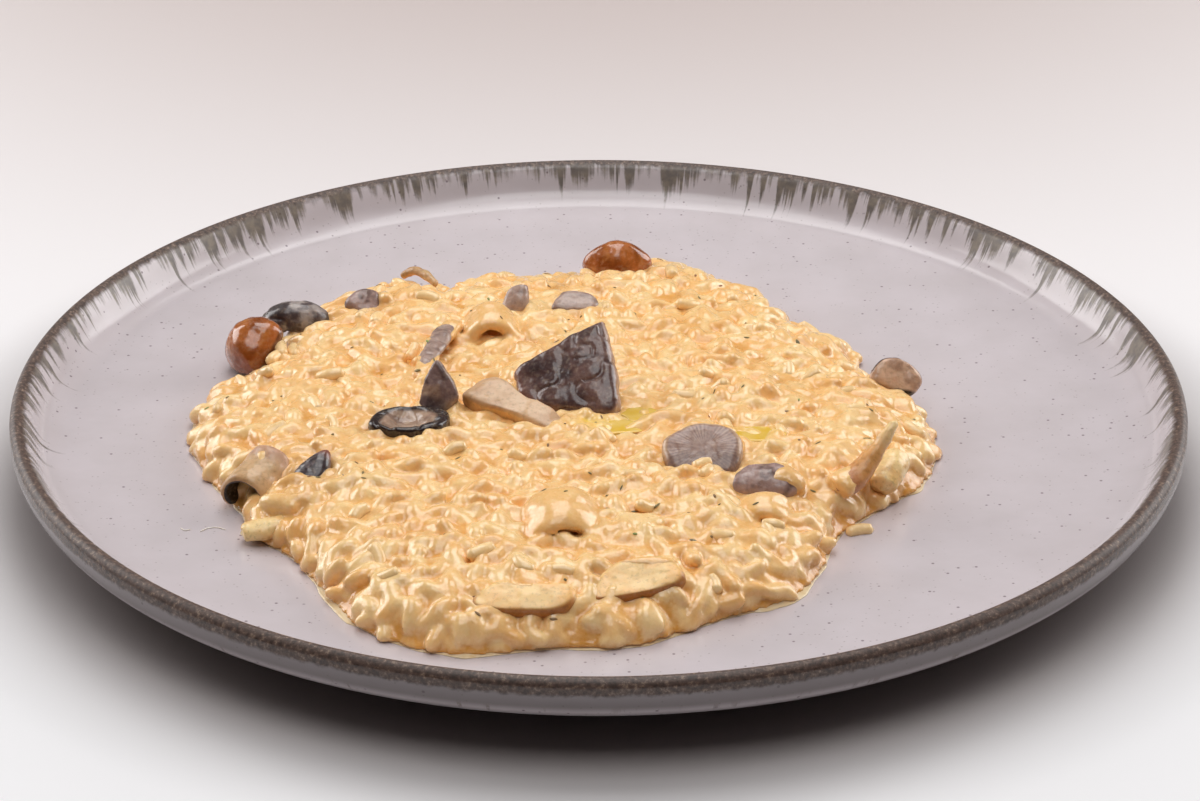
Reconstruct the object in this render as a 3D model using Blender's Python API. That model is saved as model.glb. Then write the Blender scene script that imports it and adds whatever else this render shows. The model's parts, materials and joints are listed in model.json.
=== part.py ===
"""Mushroom risotto on its stoneware plate.

The plate is one turned solid. The risotto is one lumpy heap with pockets for the
pieces of mushroom that lie in it, and each piece of mushroom is a solid of its own.
Run it with: blender --background --python part.py
"""

from math import cos, hypot, pi, radians, sin

import bmesh
import bpy
from mathutils import Matrix, Vector, noise

# --- Driving dimensions, in millimetres. The plate stands on Z = 0, centred on Z. ---

MM = 0.001
PLATE_RADIUS = 135.0
PLATE_HEIGHT = 20.0
FLOOR_CENTRE_Z = 7.5
FLOOR_EDGE_Z = 10.2
FLOOR_EDGE_RADIUS = 120.0
FOOT_OUTER_RADIUS = 92.0
FOOT_WIDTH = 6.0
FOOT_HEIGHT = 2.8
PLATE_STEPS = 60

HEAP_CENTRE = (-8.0, -18.0)
HEAP_THICKNESS = 12.0
HEAP_EDGE_THICKNESS = 2.0
HEAP_SHOULDER = 6.0
HEAP_STEPS = 60
HEAP_RINGS = (0.12, 0.27, 0.42, 0.56, 0.69, 0.80, 0.89, 0.955, 1.0)
LUMP_HEIGHT = 1.7
LUMP_SIZE = 11.0
GAP = 0.3
POCKET_GAP = 0.4
WELD = 0.000002

PIECE_STEPS = 12

# The heap's outline as radius by bearing about its centre, in degrees and millimetres.
HEAP_OUTLINE = {
    0: 85, 10: 86, 20: 83, 28: 80, 36: 87, 44: 85, 50: 86, 58: 95, 68: 98, 77: 105, 86: 97,
    92: 90, 100: 94, 112: 90, 122: 100, 130: 94, 141: 89, 149: 83, 156: 83, 164: 88, 176: 86, 190: 80,
    203: 76, 211: 79, 218: 75, 232: 81, 243: 90, 257: 93, 268: 87, 280: 88, 293: 82, 307: 82,
    317: 77, 328: 71, 341: 75, 350: 82,
}


# --- General helpers ---


def clear_scene():
    for item in list(bpy.data.objects):
        bpy.data.objects.remove(item, do_unlink=True)


def floor_height(radius):
    """Height of the plate's shallow dished floor at this distance from its centre."""
    rise = FLOOR_EDGE_Z - FLOOR_CENTRE_Z
    return FLOOR_CENTRE_Z + rise * (radius / FLOOR_EDGE_RADIUS) ** 2


def finish_material(name, colour, roughness):
    material = bpy.data.materials.new(name)
    material.use_nodes = True
    shader = material.node_tree.nodes["Principled BSDF"]
    shader.inputs["Base Color"].default_value = (*colour, 1.0)
    shader.inputs["Roughness"].default_value = roughness
    shader.inputs["Metallic"].default_value = 0.0
    return material


def add_object(name, mesh, colour, roughness=0.4):
    item = bpy.data.objects.new(name, mesh)
    bpy.context.scene.collection.objects.link(item)
    mesh.materials.append(finish_material(name, colour, roughness))
    return item


def smooth_closed(points, count):
    """Points spread along a smooth closed curve through the given ones."""
    total = len(points)
    spread = []
    for step in range(count):
        place = step * total / count
        i = int(place)
        t = place - i
        near = (Vector(points[(i + k) % total]) for k in (-1, 0, 1, 2))
        spread.append(catmull_rom(*near, t))
    return spread


def smooth_open(points, count):
    """Points spread along a smooth open curve through the given ones."""
    ends = [points[0], *points, points[-1]]
    spread = []
    for step in range(count):
        place = step * (len(points) - 1) / (count - 1)
        i = min(int(place), len(points) - 2)
        t = place - i
        near = (Vector(ends[i + k]) for k in range(4))
        spread.append(catmull_rom(*near, t))
    return spread


def catmull_rom(a, b, c, d, t):
    """The value at t of the smooth curve that passes b at 0 and c at 1."""
    straight = (c - a) * t
    square = (2 * a - 5 * b + 4 * c - d) * t**2
    cubic = (3 * b - a - 3 * c + d) * t**3
    return 0.5 * (2 * b + straight + square + cubic)


def closed_rings(name, rings, first_pole, last_pole):
    """One closed mesh from rings of points, with a pole at each end, in metres."""
    work = bmesh.new()
    loops = [[work.verts.new(Vector(p) * MM) for p in ring] for ring in rings]
    poles = [work.verts.new(Vector(p) * MM) for p in (first_pole, last_pole)]
    for ring, pole in zip((loops[0], loops[-1]), poles):
        for a, b in zip(ring, ring[1:] + ring[:1]):
            work.faces.new((pole, a, b))
    for low, high in zip(loops, loops[1:]):
        for i in range(len(low)):
            j = (i + 1) % len(low)
            work.faces.new((low[i], low[j], high[j], high[i]))
    bmesh.ops.recalc_face_normals(work, faces=work.faces)
    mesh = bpy.data.meshes.new(name)
    work.to_mesh(mesh)
    work.free()
    mesh.shade_smooth()
    return mesh


# --- The plate ---


def plate_profile():
    """Half section of the plate, from the middle of its floor over the lip to its underside."""
    floor_radii = (0, 40, 80, 104, FLOOR_EDGE_RADIUS)
    points = [(r, floor_height(r)) for r in floor_radii]
    lip = PLATE_HEIGHT
    inner_wall = [(123.5, lip - 9.4), (126.0, lip - 8.4), (128.2, lip - 6.6), (130.4, lip - 2.6)]
    lip_round = [(131.6, lip - 0.8), (133.2, lip), (134.5, lip - 0.7), (PLATE_RADIUS, lip - 2.2)]
    outer_wall = [(134.7, lip - 5.6), (132.6, lip - 8.9), (128.0, lip - 11.6), (116.0, lip - 14.6)]
    foot_top = (FOOT_OUTER_RADIUS + 4, FOOT_HEIGHT + 0.6)
    foot_inner = FOOT_OUTER_RADIUS - FOOT_WIDTH
    foot = [
        foot_top,
        (FOOT_OUTER_RADIUS, 0.6),
        (FOOT_OUTER_RADIUS - 0.8, 0),
        (foot_inner + 0.8, 0),
        (foot_inner, 0.6),
        (foot_inner - 2, FOOT_HEIGHT),
        (0, FOOT_HEIGHT),
    ]
    return points + inner_wall + lip_round + outer_wall + foot


def make_plate():
    mesh = bpy.data.meshes.new("plate")
    points = [(r * MM, 0, z * MM) for r, z in plate_profile()]
    edges = [(i, i + 1) for i in range(len(points) - 1)]
    mesh.from_pydata(points, edges, [])
    plate = add_object("plate", mesh, (0.62, 0.58, 0.60), 0.3)
    turn = plate.modifiers.new("Turn", "SCREW")
    turn.steps = PLATE_STEPS
    turn.render_steps = PLATE_STEPS
    turn.use_merge_vertices = True
    turn.merge_threshold = 0.00005
    turn.use_smooth_shade = True
    return plate


# --- The risotto ---


def heap_radius(bearing):
    """Radius of the heap's outline at a bearing in degrees, as a smooth closed curve."""
    knots = sorted(HEAP_OUTLINE)
    bearing %= 360
    after = next((i for i, k in enumerate(knots) if k > bearing), 0)
    names = [knots[(after + k) % len(knots)] for k in (-2, -1, 0, 1)]
    span = (names[2] - names[1]) % 360
    t = ((bearing - names[1]) % 360) / span
    return catmull_rom(*(HEAP_OUTLINE[k] for k in names), t)


def heap_point(share, step, on_top):
    """A point of the heap's skin at a share of the way from its centre to its outline."""
    bearing = 360 * step / HEAP_STEPS
    reach = share * heap_radius(bearing)
    x = HEAP_CENTRE[0] + reach * cos(radians(bearing))
    y = HEAP_CENTRE[1] + reach * sin(radians(bearing))
    base = floor_height(hypot(x, y)) + GAP
    if not on_top:
        return (x, y, base)
    dome = (HEAP_THICKNESS - HEAP_EDGE_THICKNESS) * (1 - share**HEAP_SHOULDER) ** 0.6
    lump = LUMP_HEIGHT * noise.noise(Vector((x, y, 0)) / LUMP_SIZE) * (1 - share**6)
    return (x, y, base + HEAP_EDGE_THICKNESS + dome + lump)


def make_heap():
    top = [[heap_point(share, i, True) for i in range(HEAP_STEPS)] for share in HEAP_RINGS]
    under = [[heap_point(share, i, False) for i in range(HEAP_STEPS)] for share in (1.0, 0.75, 0.4)]
    centre = heap_point(0, 0, True)
    underside = heap_point(0, 0, False)
    mesh = closed_rings("risotto", top + under, centre, underside)
    return add_object("risotto", mesh, (0.90, 0.68, 0.38), 0.35)


# --- The pieces of mushroom ---


def edge_round(share):
    """Half thickness at a share of the way from the middle to the rim, full in the middle."""
    return (1 - share**4) ** 0.5


def wrapped(point, bend):
    """The point after its X is wrapped round a cylinder along Y of radius bend, or not for 0."""
    x, y, z = point
    if not bend:
        return point
    angle = x / bend
    return ((bend + z) * sin(angle), y, (bend + z) * cos(angle) - bend)


def make_slab(outline, thickness, crown=0.0, hollow=0.0, bend=0.0, ripple=0.0):
    """A slice or a cap: a rounded slab over a closed outline.

    crown swells its top, hollow raises its underside, bend curls it along X,
    and ripple wrinkles both faces."""
    rim = smooth_closed(outline, PIECE_STEPS)
    middle = sum(rim, Vector((0, 0))) / len(rim)

    def skin(share, point, side):
        x, y = middle + (point - middle) * share
        swell = crown if side > 0 else hollow
        wrinkle = ripple * sin(1.1 * x + 0.6 * y) * cos(0.9 * y - 0.5 * x) * (1 - share**2)
        z = side * thickness / 2 * edge_round(share) + swell * (1 - share**2) + wrinkle
        return wrapped((x, y, z), bend)

    shares = (0.55, 0.9)
    top = [[skin(s, p, 1) for p in rim] for s in shares]
    edge = [[skin(1.0, p, 1) for p in rim]]
    under = [[skin(s, p, -1) for p in rim] for s in reversed(shares)]
    poles = [skin(0, middle, side) for side in (1, -1)]
    return closed_rings("piece", top + edge + under, *poles)


def make_stem(path, widths, heights, sides=8, steps=6):
    """A stem or a strip: oval sections along a smooth path, closed with rounded ends."""
    spine = smooth_open(path, steps)
    sizes = smooth_open([(w / 2, h / 2) for w, h in zip(widths, heights)], steps)
    rings = []
    for i, (centre, size) in enumerate(zip(spine, sizes)):
        along = (spine[min(i + 1, steps - 1)] - spine[max(i - 1, 0)]).normalized()
        aside = along.cross(Vector((0, 0, 1))).normalized()
        upward = aside.cross(along)
        ring = []
        for k in range(sides):
            angle = 2 * pi * k / sides
            ring.append(centre + aside * size[0] * cos(angle) + upward * size[1] * sin(angle))
        rings.append(ring)
    first = spine[0] + (spine[0] - spine[1]).normalized() * sizes[0][1] * 0.6
    last = spine[-1] + (spine[-1] - spine[-2]).normalized() * sizes[-1][1] * 0.6
    return closed_rings("piece", rings, first, last)


def oval(length, width):
    """Outline of an oval, as four points for a smooth curve to pass through."""
    return [(length / 2, 0), (0, width / 2), (-length / 2, 0), (0, -width / 2)]


def placing(centre, lean_bearing=0.0, lean=0.0, spin=0.0):
    """Where a slab lies: spun in plan, then its top leant towards a bearing, in degrees."""
    move = Matrix.Translation(Vector(centre) * MM)
    bearing = Matrix.Rotation(radians(lean_bearing), 4, "Z")
    tilt = Matrix.Rotation(radians(lean), 4, "Y")
    turn = Matrix.Rotation(radians(spin), 4, "Z")
    return move @ bearing @ tilt @ bearing.inverted() @ turn


DARK = (0.08, 0.05, 0.045)
CHESTNUT = (0.42, 0.14, 0.04)
GREY = (0.20, 0.15, 0.13)
TAN = (0.62, 0.40, 0.23)
PALE = (0.80, 0.62, 0.40)


def cap_pieces():
    """Wedges, slices and whole small caps: name, colour, outline, slab sizes, placing."""
    return [
        # The large dark quarter of a cap, on top of the heap and leaning to the front.
        ("cap_quarter_dark", DARK,
         [(-13, 2), (-9, 7), (-2, 9), (9, 13), (11, 4), (10.5, -7), (8, -12), (-1, -9), (-10, -5)],
         dict(thickness=6.0, crown=2.0, ripple=0.5), placing((-6.2, -6.9, 23.2), -113, 36)),
        # The dark pair: a small cap with its hollow side up, and a wedge that stands behind it.
        ("cap_curled_dark", DARK, [(-9, -2), (-6, 4.4), (2, 6), (9, 3.4), (8, -4), (1, -7), (-6, -6)],
         dict(thickness=4.4, crown=-1.6, hollow=-2.0), placing((-42.9, -22.4, 20.2), -95, 28)),
        ("wedge_upright_dark", DARK, [(-4.0, -5), (-3.6, 1), (0.8, 6.6), (4.2, 1), (3.4, -5.5)],
         dict(thickness=3.4, crown=0.8), placing((-36.5, -13.2, 24.0), -100, 64)),
        ("stem_slice_long", TAN,
         [(-13, -2), (-8.5, 6), (0, 3), (8, 1.2), (13.5, -1.5), (12, -5.5), (2, -4), (-8, -4)],
         dict(thickness=4.6, crown=0.3), placing((-18.6, -15.8, 20.6), -90, 16, -24)),
        ("cap_chestnut_left", CHESTNUT, oval(15.5, 17.0),
         dict(thickness=6.0, crown=4.0, hollow=1.5), placing((-82.0, 26.8, 15.2), 200, 46)),
        ("cap_wrinkled_left", GREY, [(-9, -3), (-6, 3.5), (2, 4.5), (9.5, 1), (7, -3.5), (-2, -4)],
         dict(thickness=3.8, crown=2.4, hollow=1.8, bend=12.0, ripple=0.6),
         placing((-73.6, 40.2, 16.4), -80, 14, 2)),
        ("cap_chestnut_back", CHESTNUT, oval(17, 13),
         dict(thickness=4.6, crown=4.0, hollow=2.4), placing((4.6, 70.8, 17.2), -90, 12)),
        ("cap_purple_left", GREY, [(-4, -2.5), (-2, 3), (3.5, 3.5), (3, -3.5)],
         dict(thickness=3.2, crown=0.8), placing((-57.6, 45.1, 18.6), -60, 34)),
        ("hood_coated", PALE, [(-9.5, -4), (-7, 4), (0, 5), (7, 4), (9.5, -4), (0, -4)],
         dict(thickness=2.6, bend=5.2), placing((-26.0, 26.4, 23.4), -90, 8, 4)),
        ("tip_grey_back", GREY, [(-3.8, -3), (-1, 3.2), (3.8, 3.6), (2.6, -2.6)],
         dict(thickness=3.0, crown=0.6), placing((-20.6, 40.5, 20.8), -110, 50)),
        ("sliver_grey_back", GREY, [(-5.5, -3), (-3, 3.4), (4, 3), (5.5, -2)],
         dict(thickness=2.4, crown=0.5), placing((-5.8, 41.5, 20.1), -80, 18)),
        ("cap_slice_right", GREY, [(-6, -1), (-3.5, 4), (2.5, 4.2), (6, 0.5), (4, -3.6), (-1, -3.2)],
         dict(thickness=3.2, crown=1.6, hollow=0.8), placing((69.3, 5.4, 17.6), -75, 54)),
        ("slab_grey_right", GREY, [(-8.6, 3), (-2, 7), (6.5, 6), (8.8, 0), (6, -6.5), (-1, -6.8), (-7, -5)],
         dict(thickness=3.8, crown=0.9, ripple=0.5), placing((22.9, -37.4, 20.3), -95, 24)),
        ("slice_purple_right", GREY, [(-8, -1), (-4, 4.5), (4, 4.5), (8, 0), (5, -4), (-3, -4)],
         dict(thickness=3.4, crown=1.6), placing((36.6, -50.0, 18.8), -90, 22)),
        ("curl_arched_right", PALE, [(-8, -3), (-6, 3), (0, 3.4), (6, 3), (8, -3), (0, -3.4)],
         dict(thickness=2.6, bend=4.8), placing((36.0, -60.4, 19.0), -90, 14)),
        ("leaf_dark_left", DARK, [(-8.2, 0), (-2, 3.2), (4, 3), (8.4, 0.4), (3, -3), (-3, -2.6)],
         dict(thickness=2.8, crown=0.8), placing((-63.6, -45.2, 17.2), -100, 28, 60)),
        ("curl_coated_front", PALE, [(-11, -5), (-9, 5.5), (0, 7.5), (9, 5.5), (11, -5), (0, -6.5)],
         dict(thickness=3.0, bend=7.2), placing((-8.0, -68.6, 22.2), -90, 10, 4)),
        ("curl_hollow_left", TAN, [(-11, -5), (-9, 5), (0, 6.5), (9, 5.5), (11, -5), (0, -5.5)],
         dict(thickness=2.4, bend=5.2), placing((-76.4, -41.8, 19.1), -120, 12, -28)),
        ("slab_broad_front", TAN, [(-9.5, -3.5), (-7, 4), (1, 6), (8, 5), (10, -1), (4, -3.5)],
         dict(thickness=3.4, crown=0.5), placing((8.0, -92.0, 17.6), -90, 16, 11)),
        ("slab_pointed_front", TAN, [(-11, -2.5), (-8, 3.6), (0, 4), (8, 4.2), (10, 0.5), (5, -3)],
         dict(thickness=3.0, crown=0.5), placing((-15.0, -98.6, 16.8), -90, 20, -2)),
    ]


def stem_pieces():
    """Stems and strips: name, colour, path, widths and heights along it."""
    return [
        ("stem_horn_right", TAN,
         [(52.4, -48.8, 17.4), (57.4, -45.2, 19.6), (61.6, -42.0, 24.0), (65.6, -39.2, 29.0)],
         (8.6, 7.0, 4.4, 2.2), (5.0, 5.0, 3.8, 2.2)),
        ("stem_barrel_right", PALE, [(66.6, -33.2, 17.0), (65.0, -37.4, 15.8), (62.8, -42.4, 14.0)],
         (6.0, 7.2, 6.2), (5.4, 6.4, 5.4)),
        ("stem_coated_right", PALE, [(69.6, -0.6, 15.6), (70.8, -4.6, 14.6), (71.6, -8.8, 12.8)],
         (3.4, 4.4, 3.6), (3.0, 4.0, 3.2)),
        ("strip_back", TAN, [(-49.0, 63.0, 17.8), (-45.0, 61.6, 19.8), (-40.2, 56.4, 18.6)],
         (2.0, 2.8, 2.0), (2.0, 2.2, 2.0)),
        ("strip_curved_left", GREY,
         [(-34.6, 26.2, 21.8), (-37.4, 18.4, 22.2), (-39.6, 8.2, 22.0), (-41.2, -0.2, 21.0)],
         (4.0, 5.2, 4.4, 2.6), (2.4, 2.6, 2.4, 1.8)),
        ("chunk_pale_left", PALE, [(-77.2, -59.4, 11.8), (-72.2, -58.6, 12.6), (-66.6, -57.0, 13.0)],
         (4.8, 6.2, 5.4), (3.8, 4.6, 4.2)),
    ]


def make_pieces():
    pieces = []
    for name, colour, outline, sizes, place in cap_pieces():
        mesh = make_slab(outline, **sizes)
        mesh.transform(place)
        pieces.append(add_object(name, mesh, colour))
    for name, colour, path, widths, heights in stem_pieces():
        pieces.append(add_object(name, make_stem(path, widths, heights), colour))
    for piece in pieces:
        piece.data.name = piece.name
    return pieces


# --- Pockets for the pieces ---


def make_cutter(piece):
    """A copy of a piece, grown all round by the gap that its pocket keeps."""
    mesh = piece.data.copy()
    for vertex in mesh.vertices:
        vertex.co += vertex.normal * POCKET_GAP * MM
    cutter = bpy.data.objects.new("pocket_" + piece.name, mesh)
    bpy.context.scene.collection.objects.link(cutter)
    cutter.hide_render = True
    cutter.display_type = "WIRE"
    return cutter


def largest_body(mesh):
    """Keeps only the largest connected body of a mesh, dropping crumbs that a cut left loose."""
    work = bmesh.new()
    work.from_mesh(mesh)
    bmesh.ops.remove_doubles(work, verts=work.verts, dist=WELD)
    unseen = set(work.verts)
    bodies = []
    while unseen:
        front = [unseen.pop()]
        body = set(front)
        while front:
            vertex = front.pop()
            near = {edge.other_vert(vertex) for edge in vertex.link_edges} & unseen
            unseen -= near
            body |= near
            front += near
        bodies.append(body)
    keep = max(bodies, key=len)
    bmesh.ops.delete(work, geom=[v for v in work.verts if v not in keep], context="VERTS")
    work.to_mesh(mesh)
    work.free()


def cut_pockets(heap, pieces):
    for piece in pieces:
        cut = heap.modifiers.new("Pocket", "BOOLEAN")
        cut.operation = "DIFFERENCE"
        cut.object = make_cutter(piece)
    graph = bpy.context.evaluated_depsgraph_get()
    mesh = bpy.data.meshes.new_from_object(heap.evaluated_get(graph))
    heap.modifiers.clear()
    largest_body(mesh)
    mesh.shade_smooth()
    heap.data = mesh


def main():
    clear_scene()
    make_plate()
    heap = make_heap()
    cut_pockets(heap, make_pieces())


main()
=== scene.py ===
"""Mushroom risotto on its stoneware plate.

Laid out as an add-on and run as a script. The frame gives the plate, the heap of rice and each
piece of mushroom as plain solids, and every one of them is replaced here by a finished piece of
the same size in the same place. Lengths inside the makers are in millimetres.
"""

import json
from math import cos, pi, radians, sin

import bpy
import numpy as np
from mathutils import Matrix, Vector
from mathutils.bvhtree import BVHTree
from mathutils.kdtree import KDTree


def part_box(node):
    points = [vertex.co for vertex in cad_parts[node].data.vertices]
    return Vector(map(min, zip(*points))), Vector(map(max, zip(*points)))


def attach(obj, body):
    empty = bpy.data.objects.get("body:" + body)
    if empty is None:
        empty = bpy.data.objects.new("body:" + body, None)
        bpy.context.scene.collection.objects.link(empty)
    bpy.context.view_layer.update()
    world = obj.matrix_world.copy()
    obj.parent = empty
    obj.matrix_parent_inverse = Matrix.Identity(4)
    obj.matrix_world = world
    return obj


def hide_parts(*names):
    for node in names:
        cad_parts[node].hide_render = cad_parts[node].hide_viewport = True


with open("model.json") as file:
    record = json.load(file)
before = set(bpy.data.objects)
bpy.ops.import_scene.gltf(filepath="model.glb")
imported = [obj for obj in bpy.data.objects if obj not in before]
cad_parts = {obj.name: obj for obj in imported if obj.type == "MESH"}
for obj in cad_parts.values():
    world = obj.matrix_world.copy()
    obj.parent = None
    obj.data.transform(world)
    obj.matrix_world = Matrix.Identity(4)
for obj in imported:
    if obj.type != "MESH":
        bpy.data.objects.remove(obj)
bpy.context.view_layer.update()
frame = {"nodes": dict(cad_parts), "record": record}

bl_info = {
    "name": "Mushroom risotto",
    "version": (1, 0, 0),
    "blender": (4, 5, 0),
    "location": "3D View > Sidebar > Risotto",
    "description": "Makes a plate of mushroom risotto around its packed solids",
    "category": "Object",
}

MM = 0.001
PLATE_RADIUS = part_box("plate")[1].x / MM
PLATE_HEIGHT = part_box("plate")[1].z / MM


# --- Colours and numbers ---


def linear(code):
    """Linear red, green and blue of an sRGB hex colour."""
    parts = [int(code[i:i + 2], 16) / 255 for i in (1, 3, 5)]
    return np.array([c / 12.92 if c <= 0.04045 else ((c + 0.055) / 1.055) ** 2.4 for c in parts])


def rgba(colour):
    """A hex code or a linear colour with full alpha."""
    return (*(linear(colour) if isinstance(colour, str) else colour), 1.0)


def ease(value, low, high):
    """0 below low, 1 above high, and a smooth step between them."""
    t = np.clip((value - low) / (high - low), 0, 1)
    return t * t * (3 - 2 * t)


def tint(first, second, share):
    """Colours mixed point by point; a colour is a hex code or an array."""
    first = linear(first) if isinstance(first, str) else first
    second = linear(second) if isinstance(second, str) else second
    return first + (second - first) * np.asarray(share)[:, None]


def lattice(cells, seed):
    """A repeatable random value from 0 to 1 at each whole-numbered place."""
    x, y, z = (cells[..., i].astype(np.uint64) for i in range(3))
    mixed = (x * 374761393 + y * 668265263 + z * 2246822519 + seed * 3266489917) & 0xFFFFFFFF
    mixed = ((mixed ^ (mixed >> 13)) * 1274126177) & 0xFFFFFFFF
    return ((mixed ^ (mixed >> 16)) & 0xFFFFFF) / 0xFFFFFF


def lumps(points, size, seed=0):
    """Smooth noise from -1 to 1 whose bumps are about size across."""
    places = np.asarray(points, float) / size + 1000
    cells = np.floor(places).astype(np.int64)
    t = places - cells
    t = t * t * t * (t * (t * 6 - 15) + 10)
    total = 0
    for corner in np.ndindex(2, 2, 2):
        weight = np.prod(np.where(corner, t, 1 - t), axis=-1)
        total = total + weight * lattice(cells + np.array(corner), seed)
    return total * 2 - 1


def rough(points, size, seed=0, octaves=3):
    """Noise with detail in it: each layer is half the size and half the height of the last."""
    return sum(lumps(points, size / 2**k, seed + 7 * k) / 2**k for k in range(octaves))


# --- Curves and meshes ---


def smooth_loop(points, count):
    """Points spread along a smooth closed curve through the given ones."""
    knots = np.array(points, float)
    places = np.arange(count) * len(knots) / count
    return between(knots, places, lambda i: i % len(knots))


def smooth_path(points, count):
    """Points spread along a smooth open curve through the given ones."""
    knots = np.array(points, float)
    places = np.linspace(0, len(knots) - 1, count)
    return between(knots, places, lambda i: np.clip(i, 0, len(knots) - 1))


def between(knots, places, wrap):
    """Points at places along a curve through the knots; wrap says which knot a number means."""
    start = np.minimum(places.astype(int), len(knots) - (wrap(len(knots)) != 0))
    t = (places - start)[:, None]
    a, b, c, d = (knots[wrap(start + k)] for k in (-1, 0, 1, 2))
    square = (2 * a - 5 * b + 4 * c - d) * t**2
    return 0.5 * (2 * b + (c - a) * t + square + (3 * b - a - 3 * c + d) * t**3)


def ring_faces(rings, steps, closed_ends=True):
    """Quads between rings of points, and fans to a pole before the first and after the last."""
    index = np.arange(rings * steps).reshape(rings, steps)
    after = np.roll(index, -1, axis=1)
    quads = np.stack([index[:-1], index[1:], after[1:], after[:-1]], axis=-1).reshape(-1, 4)
    if not closed_ends:
        return quads, np.zeros((0, 3), int)
    first, last = rings * steps, rings * steps + 1
    near = np.stack([np.full(steps, first), index[0], after[0]], axis=-1)
    far = np.stack([np.full(steps, last), after[-1], index[-1]], axis=-1)
    return quads, np.vstack([near, far])


def face_normals(points, faces):
    """Each face's normal, as long as twice the area of its first corner's triangle."""
    return np.cross(points[faces[:, 1]] - points[faces[:, 0]], points[faces[:, 2]] - points[faces[:, 0]])


def vertex_normals(points, quads, tris):
    """Unit normals at the points, from the faces round each."""
    total = np.zeros_like(points)
    for faces in (quads, tris):
        if len(faces):
            normals = face_normals(points, faces)
            for k in range(faces.shape[1]):
                np.add.at(total, faces[:, k], normals)
    return total / np.maximum(np.linalg.norm(total, axis=1, keepdims=True), 1e-12)


def facing_out(points, quads, tris):
    """The faces, turned round where they would enclose the solid inside out."""
    corners = np.vstack([quads[:, :3], quads[:, [0, 2, 3]], tris])
    a, b, c = (points[corners[:, k]] for k in range(3))
    if (a * np.cross(b, c)).sum() < 0:
        return quads[:, ::-1], tris[:, ::-1]
    return quads, tris


def make_mesh(name, points, quads, tris, paint=None, wet=None):
    """A mesh from millimetre points, with its colours and wetness stored at the points."""
    mesh = bpy.data.meshes.new(name)
    quads, tris = facing_out(points, quads, tris)
    mesh.from_pydata((points * MM).tolist(), [], quads.tolist() + tris.tolist())
    mesh.update()
    mesh.shade_smooth()
    if paint is not None:
        layer = mesh.color_attributes.new("paint", "FLOAT_COLOR", "POINT")
        layer.data.foreach_set("color", np.hstack([paint, np.ones((len(paint), 1))]).ravel())
    if wet is not None:
        mesh.attributes.new("wet", "FLOAT", "POINT").data.foreach_set("value", wet)
    return mesh


def add_piece(name, mesh, material, slot, *nodes):
    """Adds a finished piece that rides on the plate's body and stands for CAD nodes."""
    piece = bpy.data.objects.new(name, mesh)
    bpy.context.scene.collection.objects.link(piece)
    mesh.materials.append(material)
    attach(piece, "root")
    if nodes:
        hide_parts(*nodes)
    return piece


# --- Materials ---


def new_material(name):
    """An empty material with a Principled shader: its node tree and the shader."""
    material = bpy.data.materials.new(name)
    material.use_nodes = True
    tree = material.node_tree
    return material, tree, tree.nodes["Principled BSDF"]


def node(tree, kind, links=None, **settings):
    """Adds a node: links gives its inputs by name or number, settings its own properties."""
    made = tree.nodes.new(kind)
    for key, value in settings.items():
        setattr(made, key, value)
    for key, source in (links or {}).items():
        socket = made.inputs[key]
        if isinstance(source, bpy.types.NodeSocket):
            tree.links.new(source, socket)
        else:
            socket.default_value = source
    return made


def ramp(tree, source, *stops):
    """A colour ramp: each stop is a place from 0 to 1 and a colour."""
    made = node(tree, "ShaderNodeValToRGB", {0: source})
    elements = made.color_ramp.elements
    while len(elements) < len(stops):
        elements.new(0.5)
    for element, (place, code) in zip(elements, stops):
        element.position = place
        element.color = rgba(code)
    return made.outputs[0]


def span(tree, source, low, high, to_low=0.0, to_high=1.0):
    """Maps one range of values to another, clamped, with a smooth step."""
    made = node(tree, "ShaderNodeMapRange", {0: source, 1: low, 2: high, 3: to_low, 4: to_high},
                interpolation_type="SMOOTHSTEP")
    return made.outputs[0]


def math(tree, operation, *inputs):
    """One sum on values."""
    return node(tree, "ShaderNodeMath", dict(enumerate(inputs)), operation=operation).outputs[0]


def mixed(tree, share, first, second):
    """Two colours mixed by a share."""
    return node(tree, "ShaderNodeMix", {0: share, 6: first, 7: second}, data_type="RGBA").outputs[2]


def stored(tree, name):
    """An attribute that the mesh holds at its points."""
    return node(tree, "ShaderNodeAttribute", attribute_name=name).outputs


def place(tree):
    """Object-space position, in metres."""
    return node(tree, "ShaderNodeTexCoord").outputs["Object"]


def speck(tree, vector, size, detail=2.0, roughness=0.5):
    """Noise whose bumps are about size millimetres across."""
    links = {"Vector": vector, "Scale": 1 / (size * MM), "Detail": detail, "Roughness": roughness}
    return node(tree, "ShaderNodeTexNoise", links).outputs["Fac"]


def bumped(tree, shader, height, distance):
    """Gives a shader relief: distance is the depth in millimetres."""
    links = {"Height": height, "Distance": distance * MM, "Strength": 1.0}
    tree.links.new(node(tree, "ShaderNodeBump", links).outputs[0], shader.inputs["Normal"])


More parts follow.
